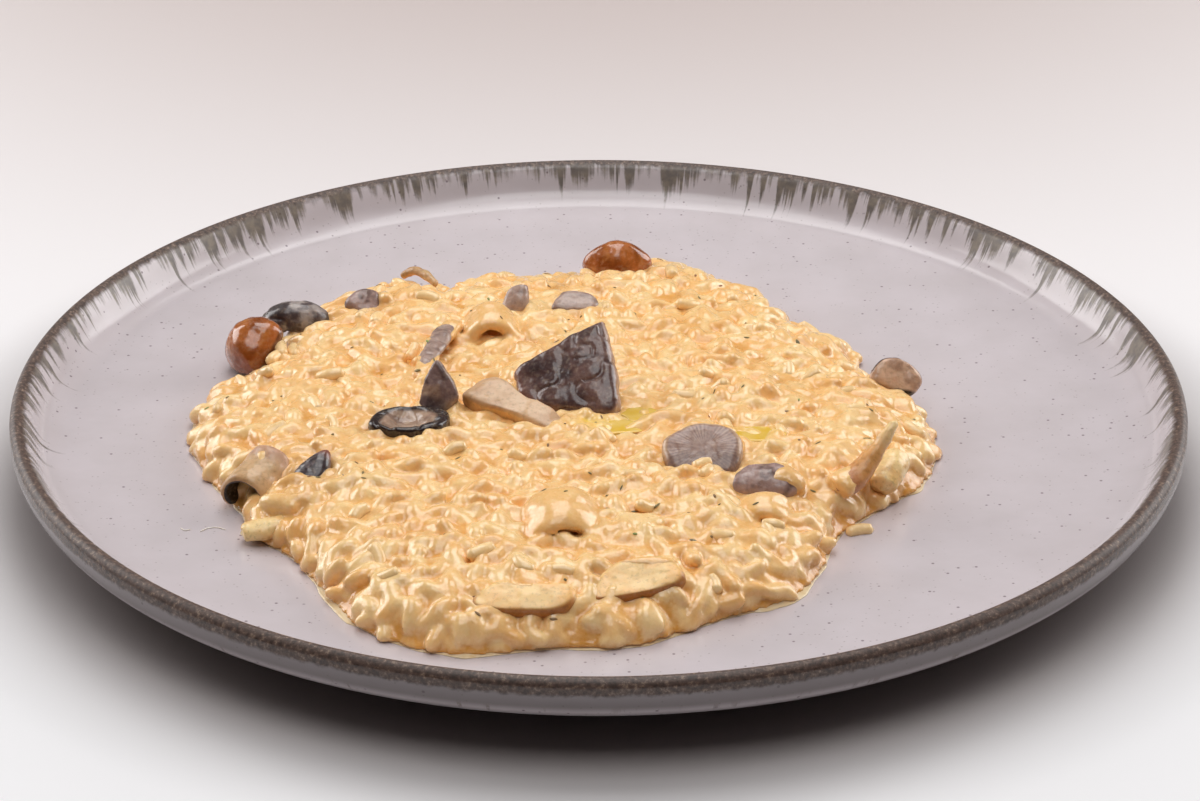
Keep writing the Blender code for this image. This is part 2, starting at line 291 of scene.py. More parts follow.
def creamy_rice(name, depth):
    """Boiled risotto rice in a cream of its own starch and butter.

    Light goes a little way in, so shadows between grains glow; the film of sauce gives small
    soft highlights."""
    material, tree, shader = new_material(name)
    where = place(tree)
    colour = stored(tree, "paint")["Color"]
    wet = stored(tree, "wet")["Fac"]
    cloud = speck(tree, where, 2.4, 3.0)
    colour = mixed(tree, span(tree, cloud, 0.40, 0.72, 0.0, 0.28), colour, rgba("#FFE0AC"))
    grit = speck(tree, where, 0.9, 2.0)
    colour = mixed(tree, span(tree, grit, 0.56, 0.80, 0.0, 0.14), colour, rgba("#D9984A"))
    tree.links.new(colour, shader.inputs["Base Color"])
    gloss = span(tree, speck(tree, where, 1.6, 2.0), 0.35, 0.65, 0.24, 0.46)
    gloss = math(tree, "SUBTRACT", gloss, math(tree, "MULTIPLY", wet, 0.2))
    tree.links.new(gloss, shader.inputs["Roughness"])
    shader.inputs["IOR"].default_value = 1.40
    shader.inputs["Subsurface Weight"].default_value = depth
    shader.inputs["Subsurface Radius"].default_value = (1.0, 0.85, 0.65)
    shader.inputs["Subsurface Scale"].default_value = 1.0 * MM
    shader.inputs["Coat Weight"].default_value = 0.55
    shader.inputs["Coat Roughness"].default_value = 0.10
    height = math(tree, "ADD", speck(tree, where, 1.3, 2.0), math(tree, "MULTIPLY", grit, 0.4))
    bumped(tree, shader, height, 0.13)
    return material


def wet_mushroom(name, film, depth, wrinkle_size):
    """Cooked mushroom: tender flesh or skin under a film of cooking juice.

    The film gives sharp white highlights on a darker, wrinkled ground."""
    material, tree, shader = new_material(name)
    where = place(tree)
    colour = stored(tree, "paint")["Color"]
    wet = stored(tree, "wet")["Fac"]
    cells = speck(tree, where, 1.1, 3.0, 0.6)
    colour = mixed(tree, span(tree, cells, 0.45, 0.75, 0.0, 0.16), colour, rgba("#D8C2A6"))
    colour = mixed(tree, span(tree, cells, 0.52, 0.30, 0.0, 0.22), colour, rgba("#3A261C"))
    tree.links.new(colour, shader.inputs["Base Color"])
    tree.links.new(span(tree, wet, 0.0, 1.0, 0.55, 0.22), shader.inputs["Roughness"])
    shader.inputs["IOR"].default_value = 1.38
    shader.inputs["Subsurface Weight"].default_value = 0.15
    shader.inputs["Subsurface Radius"].default_value = (1.0, 0.5, 0.3)
    shader.inputs["Subsurface Scale"].default_value = 1.5 * MM
    shader.inputs["Coat Weight"].default_value = film
    shader.inputs["Coat Roughness"].default_value = 0.08
    folds = speck(tree, where, wrinkle_size, 2.0)
    height = math(tree, "ADD", folds, math(tree, "MULTIPLY", cells, 0.35))
    bumped(tree, shader, height, depth)
    return material


def speckled_stoneware(glaze_colour):
    """Reactive-glazed stoneware: satin pinkish grey with fine iron specks.

    The glaze breaks to bare brown clay on the lip, and runs down from it in dark streaks. Its outer side is
    darkened by painted shade."""
    material, tree, shader = new_material("Speckled glazed stoneware")
    where = place(tree)
    parts = node(tree, "ShaderNodeSeparateXYZ", {0: where})
    x, y, z = parts.outputs
    flat = node(tree, "ShaderNodeCombineXYZ", {0: x, 1: y, 2: 0.0}).outputs[0]
    reach = node(tree, "ShaderNodeVectorMath", {0: flat}, operation="LENGTH").outputs["Value"]
    around = node(tree, "ShaderNodeVectorMath", {0: flat}, operation="NORMALIZE").outputs[0]
    around = node(tree, "ShaderNodeVectorMath", {0: around, 1: (PLATE_RADIUS * MM,) * 3},
                  operation="MULTIPLY").outputs[0]
    # How far below the lip a point lies along the wall, in millimetres.
    drop = math(tree, "SUBTRACT", PLATE_HEIGHT * MM, z)
    inward = math(tree, "SUBTRACT", 133.0 * MM, reach)
    below = math(tree, "MULTIPLY", math(tree, "MAXIMUM", drop, inward), 1 / MM)
    outside = span(tree, reach, 133.4 * MM, 134.6 * MM)
    # Base glaze with soft clouds.
    clouds = speck(tree, where, 14.0, 3.0)
    glaze = ramp(tree, clouds, (0.30, "#C7BDBF"), (0.70, glaze_colour))
    dots = node(tree, "ShaderNodeTexVoronoi", {"Vector": where, "Scale": 1 / (2.6 * MM)})
    chosen = span(tree, dots.outputs["Color"], 0.62, 0.66)
    dot = math(tree, "MULTIPLY", span(tree, dots.outputs["Distance"], 0.17, 0.08), chosen)
    glaze = mixed(tree, math(tree, "MULTIPLY", dot, 0.75), glaze, rgba("#75636A"))
    fine = node(tree, "ShaderNodeTexVoronoi", {"Vector": where, "Scale": 1 / (1.1 * MM)})
    few = span(tree, fine.outputs["Color"], 0.70, 0.74)
    grain = math(tree, "MULTIPLY", span(tree, fine.outputs["Distance"], 0.26, 0.12), few)
    glaze = mixed(tree, math(tree, "MULTIPLY", grain, 0.42), glaze, rgba("#8F7F7E"))
    # Streaks: noise stretched down the wall, each with its own length.
    length = span(tree, speck(tree, around, 2.4, 3.0, 0.62), 0.34, 0.66, 0.3, 9.0)
    patchy = span(tree, speck(tree, around, 9.0, 2.0), 0.34, 0.64, 0.30, 1.0)
    length = math(tree, "MULTIPLY", length, patchy)
    wobble = math(tree, "MULTIPLY", speck(tree, where, 1.2, 3.0), 2.2)
    run = math(tree, "SUBTRACT", math(tree, "ADD", length, wobble), below)
    streak = math(tree, "MULTIPLY", span(tree, run, -0.4, 3.2), 0.84)
    streak = math(tree, "MULTIPLY", streak, math(tree, "SUBTRACT", 1.0, outside))
    ink = ramp(tree, speck(tree, where, 2.0, 3.0), (0.35, "#4B4133"), (0.68, "#776A55"))
    # Painted shade: the outside of the rim is darkened, standing for the shadow it sits in.
    under = math(tree, "MULTIPLY", outside, 0.7)
    glaze = mixed(tree, under, glaze, rgba("#655C5B"))
    surface = mixed(tree, streak, glaze, ink)
    # The lip, where the glaze thins to brown clay with paler crumbs.
    crumbs = speck(tree, where, 1.0, 4.0, 0.7)
    bare = ramp(tree, crumbs, (0.38, "#3E2F29"), (0.55, "#5F4A40"), (0.72, "#9C8573"))
    edge = math(tree, "ADD", below, math(tree, "MULTIPLY", speck(tree, where, 1.6, 3.0), 1.8))
    lip = span(tree, edge, 2.9, 1.6)
    surface = mixed(tree, lip, surface, bare)
    ragged = math(tree, "MULTIPLY", speck(tree, where, 2.0, 3.0), 1.6 * MM)
    outer = span(tree, math(tree, "ADD", drop, ragged), 4.6 * MM, 3.6 * MM)
    surface = mixed(tree, math(tree, "MULTIPLY", outer, outside), surface, bare)
    tree.links.new(surface, shader.inputs["Base Color"])
    matt = math(tree, "MAXIMUM", lip, math(tree, "MULTIPLY", streak, 0.6))
    tree.links.new(span(tree, matt, 0.0, 1.0, 0.20, 0.50), shader.inputs["Roughness"])
    shader.inputs["IOR"].default_value = 1.52
    bitten = math(tree, "MULTIPLY", math(tree, "ADD", streak, lip), -0.3)
    bumped(tree, shader, math(tree, "ADD", speck(tree, where, 6.0, 2.0), bitten), 0.10)
    return material


def olive_oil(oil_colour):
    """Olive oil over cream: a rich yellow with a mirror-like skin."""
    material, tree, shader = new_material("Olive oil")
    where = place(tree)
    tone = ramp(tree, speck(tree, where, 3.0, 2.0), (0.35, oil_colour), (0.65, "#F4CE70"))
    tree.links.new(tone, shader.inputs["Base Color"])
    shader.inputs["Roughness"].default_value = 0.04
    shader.inputs["IOR"].default_value = 1.47
    shader.inputs["Transmission Weight"].default_value = 0.15
    return material


def chopped_herb():
    """Dried and cooked parsley and thyme: matt, dark green going brown."""
    material, tree, shader = new_material("Chopped cooked herbs")
    colour = stored(tree, "paint")["Color"]
    veins = speck(tree, place(tree), 0.4, 2.0)
    colour = mixed(tree, span(tree, veins, 0.4, 0.7, 0.0, 0.3), colour, rgba("#8B7B45"))
    tree.links.new(colour, shader.inputs["Base Color"])
    shader.inputs["Roughness"].default_value = 0.45
    return material


def sauce_film(name, thin, thick):
    """Starchy cooking cream, thin enough for the glaze to show through."""
    material, tree, shader = new_material(name)
    where = place(tree)
    tone = ramp(tree, speck(tree, where, 3.0, 3.0), (0.3, thin), (0.7, thick))
    tree.links.new(tone, shader.inputs["Base Color"])
    gloss = span(tree, speck(tree, where, 5.0, 2.0), 0.35, 0.65, 0.08, 0.22)
    tree.links.new(gloss, shader.inputs["Roughness"])
    shader.inputs["IOR"].default_value = 1.36
    shader.inputs["Transmission Weight"].default_value = 0.12
    bumped(tree, shader, speck(tree, where, 2.0, 2.0), 0.10)
    return material


# --- The plate ---

FLOOR_CENTRE_Z = 7.5
FLOOR_EDGE_Z = 10.2
FLOOR_EDGE_RADIUS = 120.0
FOOT_RADIUS = 92.0
FOOT_HEIGHT = 2.8
PLATE_TURN_STEPS = 480


def floor_height(radius):
    """Height of the plate's shallow dished floor at a distance from its centre."""
    return FLOOR_CENTRE_Z + (FLOOR_EDGE_Z - FLOOR_CENTRE_Z) * (radius / FLOOR_EDGE_RADIUS) ** 2


def plate_section():
    """Half section from the middle of the floor, over the lip, to the middle of the underside."""
    lip = PLATE_HEIGHT
    radii = np.linspace(2, 118, 30)
    floor = np.stack([radii, floor_height(radii)], axis=-1)
    wall = smooth_path([
        (FLOOR_EDGE_RADIUS, FLOOR_EDGE_Z), (123.5, lip - 9.4), (126.0, lip - 8.4), (128.2, lip - 6.6),
        (130.4, lip - 2.6), (131.6, lip - 0.8), (133.2, lip), (134.5, lip - 0.7),
        (PLATE_RADIUS, lip - 2.2), (134.7, lip - 5.6), (132.6, lip - 8.9), (128.0, lip - 11.6),
        (116.0, lip - 14.6), (FOOT_RADIUS + 4, FOOT_HEIGHT + 0.6)], 90)
    foot = [(FOOT_RADIUS, 0.6), (FOOT_RADIUS - 0.8, 0), (FOOT_RADIUS - 5.2, 0), (FOOT_RADIUS - 6, 0.6),
            (FOOT_RADIUS - 8, FOOT_HEIGHT), (40, FOOT_HEIGHT), (2, FOOT_HEIGHT)]
    return np.vstack([floor, wall, foot])


def make_plate(settings):
    """Turns the section round the plate's middle."""
    section = plate_section()
    angle = np.arange(PLATE_TURN_STEPS) * 2 * pi / PLATE_TURN_STEPS
    radius, height = section[:, 0][:, None], section[:, 1][:, None]
    rings = np.stack([radius * np.cos(angle), radius * np.sin(angle), height + 0 * angle], axis=-1)
    poles = [(0, 0, FLOOR_CENTRE_Z), (0, 0, FOOT_HEIGHT)]
    points = np.vstack([rings.reshape(-1, 3), poles])
    quads, tris = ring_faces(len(section), PLATE_TURN_STEPS)
    mesh = make_mesh("stoneware_plate", points, quads, tris)
    add_piece("stoneware_plate", mesh, speckled_stoneware(settings.glaze_colour), "glazed_stoneware", "plate")


# --- The heap of rice ---

HEAP_STEP = 0.62       # millimetres between the places where the heap's field is worked out
HEAP_MARGIN = 4.0
BLEND = 0.29           # how softly the cream joins grain to grain, in millimetres
MOST_TRIANGLES = 190000
SLIT_REACH = 2         # gaps in the heap's top up to twice this wide are closed, in millimetres
OIL_POOLS = ((1.0, -23.5, 8.5, 4.6), (9.5, -17.5, 5.0, 4.0), (35.0, -27.5, 6.5, 3.6))
GRAIN_LAYERS = ((1.35, 4.1), (3.3, 4.8))    # how deep the grains' centres lie, and their spacing
GRAIN_STRAY = 0.42     # how far a grain strays from its row, as a share of the spacing
DEPTH_SPREAD = 0.42    # how unevenly deep the grains lie, in millimetres
TILT_SPREAD = 0.32     # how steeply the grains tip, as rise over run
BROKEN_SHARE = 0.12    # grains that are broken short
CREAM_DEPTH = 1.05     # how far the cream's level lies under the heap's top, in millimetres
CREAM_SWELL = 0.32
FLOOR_GAP = 1.3        # the least height of a grain's centre above the plate's floor


class Survey:
    """The heap's plain solid, read on a 1 mm grid: the height of its top and its distance in."""

    def __init__(self):
        solid = frame["nodes"]["risotto"].data
        tree = BVHTree.FromPolygons([v.co for v in solid.vertices], [p.vertices for p in solid.polygons])
        low, high = (np.array(corner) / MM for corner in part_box("risotto"))
        self.low = low[:2] - HEAP_MARGIN
        self.shape = np.ceil(high[:2] + HEAP_MARGIN - self.low).astype(int) + 1
        top = np.full(self.shape, np.nan)
        for i, j in np.ndindex(*self.shape):
            start = Vector((self.low[0] + i, self.low[1] + j, high[2] + 5)) * MM
            hit = tree.ray_cast(start, Vector((0, 0, -1)))[0]
            if hit:
                top[i, j] = hit.z / MM
        self.inside = ~np.isnan(top)
        self.reach = self.distance_in()
        self.top = self.without_slits(self.filled(top))

    def distance_in(self):
        """Distance to the outline at each place: above 0 inside it and below 0 outside."""
        edge = self.inside[1:, :] != self.inside[:-1, :]
        across = self.inside[:, 1:] != self.inside[:, :-1]
        rim = np.vstack([np.argwhere(edge) + (0.5, 0), np.argwhere(across) + (0, 0.5)])
        cells = np.argwhere(np.ones(self.shape, bool))
        nearest = np.empty(len(cells))
        for start in range(0, len(cells), 4000):
            part = cells[start:start + 4000]
            gap = part[:, None, :] - rim[None, :, :]
            nearest[start:start + 4000] = np.sqrt((gap**2).sum(-1).min(1))
        nearest = nearest.reshape(self.shape)
        return np.where(self.inside, nearest, -nearest)

    def filled(self, top):
        """The top with its outside filled from the nearest inside, then softened a little."""
        known = self.inside.astype(float)
        value = np.where(self.inside, top, 0)
        for _ in range(int(HEAP_MARGIN) + 3):
            spread = soften(value)
            weight = soften(known)
            fresh = (known == 0) & (weight > 0)
            value[fresh] = spread[fresh] / weight[fresh]
            known[fresh] = 1
        return soften(value)

    def without_slits(self, top):
        """The top with the narrow gaps that the solid keeps round the mushrooms closed up."""
        for pick in (np.max, np.min):
            padded = np.pad(top, SLIT_REACH, mode="edge")
            windows = np.lib.stride_tricks.sliding_window_view(padded, (2 * SLIT_REACH + 1,) * 2)
            top = pick(windows, axis=(-2, -1))
        return soften(top)

    def at(self, field, x, y):
        """A field's value at places in millimetres, between the grid's points."""
        u = np.clip(x - self.low[0], 0, self.shape[0] - 1.001)
        v = np.clip(y - self.low[1], 0, self.shape[1] - 1.001)
        i, j = u.astype(int), v.astype(int)
        s, t = u - i, v - j
        near = field[i, j] * (1 - t) + field[i, j + 1] * t
        far = field[i + 1, j] * (1 - t) + field[i + 1, j + 1] * t
        return near * (1 - s) + far * s


def soften(field):
    """Each value replaced by the mean of the 3 by 3 round it."""
    padded = np.pad(field, 1, mode="edge")
    rows = padded[:-2] + padded[1:-1] + padded[2:]
    return (rows[:, :-2] + rows[:, 1:-1] + rows[:, 2:]) / 9


def swell(x, y):
    """The slow rise and fall of the heap's top, in millimetres."""
    return 0.6 * lumps(np.stack([x, y, 0 * x], axis=-1), 8.0, 5)


def scatter_grains(survey, rng):
    """The centres of the grains, in two layers under the heap's top."""
    grains = []
    for depth, spacing in GRAIN_LAYERS:
        rows = np.arange(survey.low[1], survey.low[1] + survey.shape[1], spacing * 0.87)
        columns = np.arange(survey.low[0], survey.low[0] + survey.shape[0], spacing)
        for number, row in enumerate(rows):
            for column in columns + spacing / 2 * (number % 2):
                x = column + rng.uniform(-GRAIN_STRAY, GRAIN_STRAY) * spacing
                y = row + rng.uniform(-GRAIN_STRAY, GRAIN_STRAY) * spacing
                grains.append((x, y, depth + rng.normal(0, DEPTH_SPREAD)))
    x, y, depth = np.array(grains).T
    keep = survey.at(survey.reach, x, y) > 1.0
    x, y, depth = x[keep], y[keep], depth[keep]
    z = survey.at(survey.top, x, y) - depth + swell(x, y)
    z = np.maximum(z, floor_height(np.hypot(x, y)) + FLOOR_GAP)
    return np.stack([x, y, z], axis=-1)


def grain_turn(survey, centre, rng):
    """A grain's own axes: lying along the surface at a random bearing, a little tilted."""
    x, y = centre[:1], centre[1:2]
    rise_x = (survey.at(survey.top, x + 2, y) - survey.at(survey.top, x - 2, y))[0] / 4
    rise_y = (survey.at(survey.top, x, y + 2) - survey.at(survey.top, x, y - 2))[0] / 4
    bearing = rng.uniform(0, 2 * pi)
    slope = rise_x * cos(bearing) + rise_y * sin(bearing) + rng.normal(0, TILT_SPREAD)
    along = np.array([cos(bearing), sin(bearing), np.clip(slope, -1.6, 1.6)])
    along /= np.linalg.norm(along)
    aside = np.cross((0, 0, 1), along)
    aside /= np.linalg.norm(aside)
    roll = rng.uniform(0, 2 * pi)
    upward = np.cross(along, aside)
    return np.array([along, aside * cos(roll) + upward * sin(roll), upward * cos(roll) - aside * sin(roll)])


class Field:
    """A block of space round the heap, where grains and cream add up to one skin."""

    def __init__(self, survey, crest):
        self.low = np.array([*survey.low, 6.6])
        high = [*(survey.low + survey.shape - 1), crest + 2.5]
        self.shape = np.ceil((np.array(high) - self.low) / HEAP_STEP).astype(int)
        self.axes = [self.low[k] + HEAP_STEP * np.arange(self.shape[k]) for k in range(3)]
        self.grain = np.zeros(self.shape, np.float32)
        self.shade = np.zeros(self.shape, np.float32)
        self.cream = np.zeros(self.shape, np.float32)

    def add_cream(self, survey):
        """The cream's own level: a little under the grains, falling in a bead at the outline."""
        x, y = np.meshgrid(self.axes[0], self.axes[1], indexing="ij")
        reach = survey.at(survey.reach, x, y)
        ground = floor_height(np.hypot(x, y))
        flat = np.stack([x, y, 0 * x], axis=-1)
        level = survey.at(survey.top, x, y) - CREAM_DEPTH + CREAM_SWELL * rough(flat, 7.0, 11)
        level = level + 0.3 * oiled(x, y) + swell(x, y)
        bead = np.sqrt(np.maximum(reach + 0.2, 0) * 1.8) + 0.9 * np.maximum(reach - 1, 0) ** 1.3
        level = np.minimum(level, ground + bead)
        level = np.where(reach < -0.2, ground - 2, level)
        distance = (self.axes[2][None, None, :] - level[:, :, None]) * 0.8
        self.cream = np.exp(-np.clip(distance / BLEND, -30, 30)).astype(np.float32)
        self.ground = ground

    def part(self, low, high):
        """The piece of the block between two corners: first and last places along each axis."""
        first = np.maximum(((low - self.low) / HEAP_STEP).astype(int), 0)
        last = np.minimum(((high - self.low) / HEAP_STEP).astype(int) + 1, self.shape)
        return first, last

    def add_form(self, form, film):
        """Cream that clings to a piece of mushroom; film is its thickness, below 0 where bare."""
        normals = vertex_normals(form.points, form.quads, form.tris)
        tree = KDTree(len(form.points))
        for number, point in enumerate(form.points):
            tree.insert(point, number)
        tree.balance()
        first, last = self.part(form.points.min(0) - 2, form.points.max(0) + 2)
        if (first >= last).any():
            return
        shape = last - first
        grid = np.meshgrid(*(self.axes[k][first[k]:last[k]] for k in range(3)), indexing="ij")
        places = np.stack(grid, axis=-1).reshape(-1, 3)
        nearest = np.array([tree.find(p)[1] for p in places])
        gap = places - form.points[nearest]
        out = np.sign((gap * normals[nearest]).sum(1))
        distance = out * np.linalg.norm(gap, axis=1) - film[nearest]
        near = np.exp(-np.clip(distance / BLEND, -30, 30)).astype(np.float32)
        self.cream[tuple(slice(a, b) for a, b in zip(first, last))] += near.reshape(shape)

    def add_grain(self, centre, turn, half_length, radius, curve, tone):
        """One plump, slightly bent grain."""
        box = half_length + 1.6
        first, last = self.part(centre - box, centre + box)
        if (first >= last).any():
            return
        x, y, z = (self.axes[k][first[k]:last[k]] - centre[k] for k in range(3))
        u, v, w = (turn[k, 0] * x[:, None, None] + turn[k, 1] * y[None, :, None]
                   + turn[k, 2] * z[None, None, :] for k in range(3))
        v = v - curve * (u / half_length) ** 2 + curve / 3
        size = np.sqrt(np.abs(u / half_length) ** 2.5 + (v * v + w * w) / radius**2)
        near = np.exp(-np.clip((size - 1) * radius / BLEND, -30, 30)).astype(np.float32)
        part = tuple(slice(a, b) for a, b in zip(first, last))
        self.grain[part] += near
        self.shade[part] += near * tone

    def value(self):
        """Below 0 inside the heap. The plate's floor cuts it off underneath."""
        joined = -BLEND * np.log(self.grain + self.cream + 1e-12)
        under = (self.ground + 0.35)[:, :, None] - self.axes[2][None, None, :]
        return np.maximum(joined, under)


def skin(field, low, step):
    """Quads where a field crosses 0, with one point in each cell that the surface passes."""
    inside = field < 0
    corners = [inside[i:field.shape[0] - 1 + i, j:field.shape[1] - 1 + j, k:field.shape[2] - 1 + k]
               for i, j, k in np.ndindex(2, 2, 2)]
    count = sum(corner.astype(np.int8) for corner in corners)
    crossed = (count > 0) & (count < 8)
    cells = np.argwhere(crossed)
    index = np.full(crossed.shape, -1, np.int64)
    index[crossed] = np.arange(len(cells))
    total = np.zeros((len(cells), 3))
    hits = np.zeros(len(cells))
    for axis in range(3):
        unit = np.eye(3, dtype=int)[axis]
        others = [np.eye(3, dtype=int)[k] for k in range(3) if k != axis]
        for a, b in np.ndindex(2, 2):
            offset = a * others[0] + b * others[1]
            start = field[tuple((cells + offset).T)]
            end = field[tuple((cells + offset + unit).T)]
            cross = (start < 0) != (end < 0)
            share = np.where(cross, start / np.where(cross, start - end, 1), 0)
            total += np.where(cross[:, None], offset + share[:, None] * unit, 0)
            hits += cross
    points = low + (cells + total / hits[:, None]) * step
    quads = []
    for axis in range(3):
        u, v = (np.eye(3, dtype=int)[(axis + k) % 3] for k in (1, 2))
        unit = np.eye(3, dtype=int)[axis]
        size = np.array(field.shape) - unit
        first = inside[tuple(slice(0, n) for n in size)]
        second = inside[tuple(slice(int(o), int(o + n)) for o, n in zip(unit, size))]
        edges = np.argwhere(first != second)
        edges = edges[((edges - u - v) >= 0).all(1) & ((edges + unit) < np.array(field.shape)).all(1)]
        edges = edges[(edges < np.array(crossed.shape)).all(1)]
        round_edge = [index[tuple((edges - shift).T)] for shift in (0 * u, u, u + v, v)]
        loop = np.stack(round_edge, axis=-1)
        leaving = inside[tuple(edges.T)]
        quads.append(np.where(leaving[:, None], loop, loop[:, ::-1]))
    return points, np.vstack(quads)


def coarser_base(points, quads, ground, reach):
    """Merges the flat underside's points, which nobody sees, into patches 6 mm across."""
    low_down = (points[:, 2] < ground + 0.75) & (reach > 4)
    patch = np.floor(points[:, :2] / 6.0).astype(int)
    key = (patch[:, 0] + 500) * 1000 + patch[:, 1] + 500
    key = np.where(low_down, key, 10**7 + np.arange(len(points)))
    _, place_of = np.unique(key, return_inverse=True)
    count = np.bincount(place_of)[:, None]
    moved = np.stack([np.bincount(place_of, points[:, k]) for k in range(3)], axis=-1) / count
    faces = place_of.reshape(-1)[quads]
    distinct = np.array([len(set(face)) for face in faces.tolist()])
    kept_quads = faces[distinct == 4]
    kept_tris = [list(dict.fromkeys(face)) for face in faces[distinct == 3].tolist()]
    tris = np.array(kept_tris, int).reshape(-1, 3)
    used = np.unique(np.concatenate([kept_quads.ravel(), tris.ravel()]))
    renumber = np.full(len(moved), -1)
    renumber[used] = np.arange(len(used))
    return moved[used], renumber[kept_quads], renumber[tris]


def oiled(x, y):
    """How much oil lies at places in plan: 1 in the middle of a pool, 0 away from them."""
    share = 0
    for pool_x, pool_y, long, wide in OIL_POOLS:
        share = np.maximum(share, np.exp(-((x - pool_x) / long) ** 2 - ((y - pool_y) / wide) ** 2))
    return share


def heap_paint(survey, field, points, settings):
    """Colour and wetness over the heap: pale grains, warmer cream, and hollows darker partly from the deeper
    cream's own colour and partly from painted shade.
    """
    places = np.clip((points - field.low) / HEAP_STEP, 0, np.array(field.shape) - 1.001)
    cell = tuple(np.round(places).astype(int).T)
    grain = field.grain[cell]
    share = grain / (grain + field.cream[cell] + 1e-9)
    tone = field.shade[cell] / (grain + 1e-9)
    sunk = survey.at(survey.top, points[:, 0], points[:, 1]) - points[:, 2]
    broad = rough(points, 16.0, 21)
    reach = survey.at(survey.reach, points[:, 0], points[:, 1])
    cream = tint(np.array(settings.cream_colour), "#E9AA5C", ease(broad, -0.6, 0.8))
    # Partly the thicker cream's own golden colour, partly painted shade: the cream deepens where the surface
    # lies below the heap's top.
    cream = tint(cream, "#E0A048", 0.7 * ease(sunk, 0.5, 2.0))
    cream = tint(cream, "#F7C684", 0.8 * ease(-sunk, 0.6, 1.5))
    rice = tint(np.array(settings.grain_colour), "#F5BE78", ease(tone, 0.0, 1.0))
    colour = tint(cream, rice, ease(share, 0.40, 0.99))
    # Painted shade: hollows below the heap's top are darkened to orange-brown, less so near the outline.
    hollow = ease(sunk, 0.5, 2.6) * (0.35 + 0.65 * ease(reach, 0, 5))
    colour = tint(colour, "#D2842C", 0.75 * hollow)
    colour = tint(colour, "#D0954E", 0.30 * ease(rough(points, 9.0, 33), 0.45, 1.1))
    colour = tint(colour, "#9A6B42", 0.38 * stain(points))
    oil = oiled(points[:, 0], points[:, 1])
    colour = tint(colour, "#F0CC5A", 0.85 * ease(oil, 0.15, 0.75) * (1 - 0.6 * ease(share, 0.5, 1.0)))
    wet = np.clip(0.5 + 0.5 * lumps(points, 5.0, 41) + 0.3 * hollow + oil, 0, 1)
    return colour, wet


def stain(points):
    """How near each point is to a dark or tan piece of mushroom, whose juice browns the cream."""
    nodes = [n for n in frame["nodes"] if n.startswith(("cap_", "wedge", "leaf", "slab_grey", "slice"))]
    spots = [v.co / MM for n in nodes for v in frame["nodes"][n].data.vertices]
    tree = KDTree(len(spots))
    for number, spot in enumerate(spots):
        tree.insert(spot, number)
    tree.balance()
    gap = np.array([tree.find(p)[2] for p in points])
    return np.exp(-gap / 1.6) * (0.6 + 0.4 * lumps(points, 3.0, 51))


def film_on(name, form):
    """How thick the cream lies on a piece of mushroom, in millimetres; below 0 it is bare."""
    normals = vertex_normals(form.points, form.quads, form.tris)
    patches = lumps(form.points, 5.0, 81)
    if name in ("slab_broad_front", "slab_pointed_front"):
        behind = form.points[:, 1] - form.points[:, 1].mean()
        return np.clip(-1.7 + 0.8 * behind + patches, -0.6, 0.3)
    if name == "stem_horn_right":
        return np.clip(0.9 - 4.5 * form.share + 0.5 * patches, -0.6, 0.4)
    if name == "hood_coated":
        return 0.45 + 0.30 * patches
    if name in ("curl_coated_front", "curl_arched_right"):
        return 0.55 + 0.30 * patches - 1.8 * ease(-form.side, 0.0, 0.8)
    if name.startswith(("stem_coated", "chunk", "sliver", "strip_curved", "slice_purple")):
        return np.clip(0.3 + 2.5 * patches - ease(normals[:, 2], 0.6, 1.0), -0.6, 0.4)
    if name == "curl_hollow_left":
        aside, behind = (form.points[:, :2] - form.points[:, :2].mean(0)).T
        return np.clip(-0.7 + 0.14 * aside + 0.10 * behind + 1.2 * patches, -0.6, 0.35)
    return np.full(len(form.points), -1.0)


def make_heap(settings, forms):
    """Adds grains, cream and the cream on the mushrooms up to one skin."""
    rng = np.random.default_rng(settings.seed)
    survey = Survey()
    field = Field(survey, max(form.points[:, 2].max() for _, form in forms))
    field.add_cream(survey)
    half, radius = settings.grain_length / MM / 2, settings.grain_width / MM / 2
    for centre in scatter_grains(survey, rng):
        turn = grain_turn(survey, centre, rng)
        spread = (0.55, 0.8) if rng.random() < BROKEN_SHARE else (0.86, 1.12)
        length = half * rng.uniform(*spread)
        plump = radius * rng.uniform(0.86, 1.12)
        curve = rng.uniform(0, 0.6)
        field.add_grain(centre, turn, length, plump, curve, rng.random())
    for name, form in forms:
        film = film_on(name, form)
        if film.max() > 0:
            field.add_form(form, film)
    points, quads = skin(field.value(), field.low, HEAP_STEP)
    ground = floor_height(np.hypot(points[:, 0], points[:, 1]))
    reach = survey.at(survey.reach, points[:, 0], points[:, 1])
    points, quads, tris = coarser_base(points, quads, ground, reach)
    paint, wet = heap_paint(survey, field, points, settings)
    mesh = make_mesh("risotto_heap", points, quads, tris, paint, wet)
    rice = creamy_rice("Creamy boiled rice", 0.25)
    heap = add_piece("risotto_heap", mesh, rice, "risotto_rice", "risotto")
    thin_out(heap)
    return heap, survey


def thin_out(piece):
    """Collapses a mesh's flattest faces until it holds no more than its share of triangles."""
    count = sum(len(face.vertices) - 2 for face in piece.data.polygons)
    if count <= MOST_TRIANGLES:
        return
    modifier = piece.modifiers.new("Thin out", "DECIMATE")
    modifier.ratio = MOST_TRIANGLES / count
    graph = bpy.context.evaluated_depsgraph_get()
    mesh = bpy.data.meshes.new_from_object(piece.evaluated_get(graph))
    piece.modifiers.clear()
    piece.data = mesh


# --- Mushrooms ---


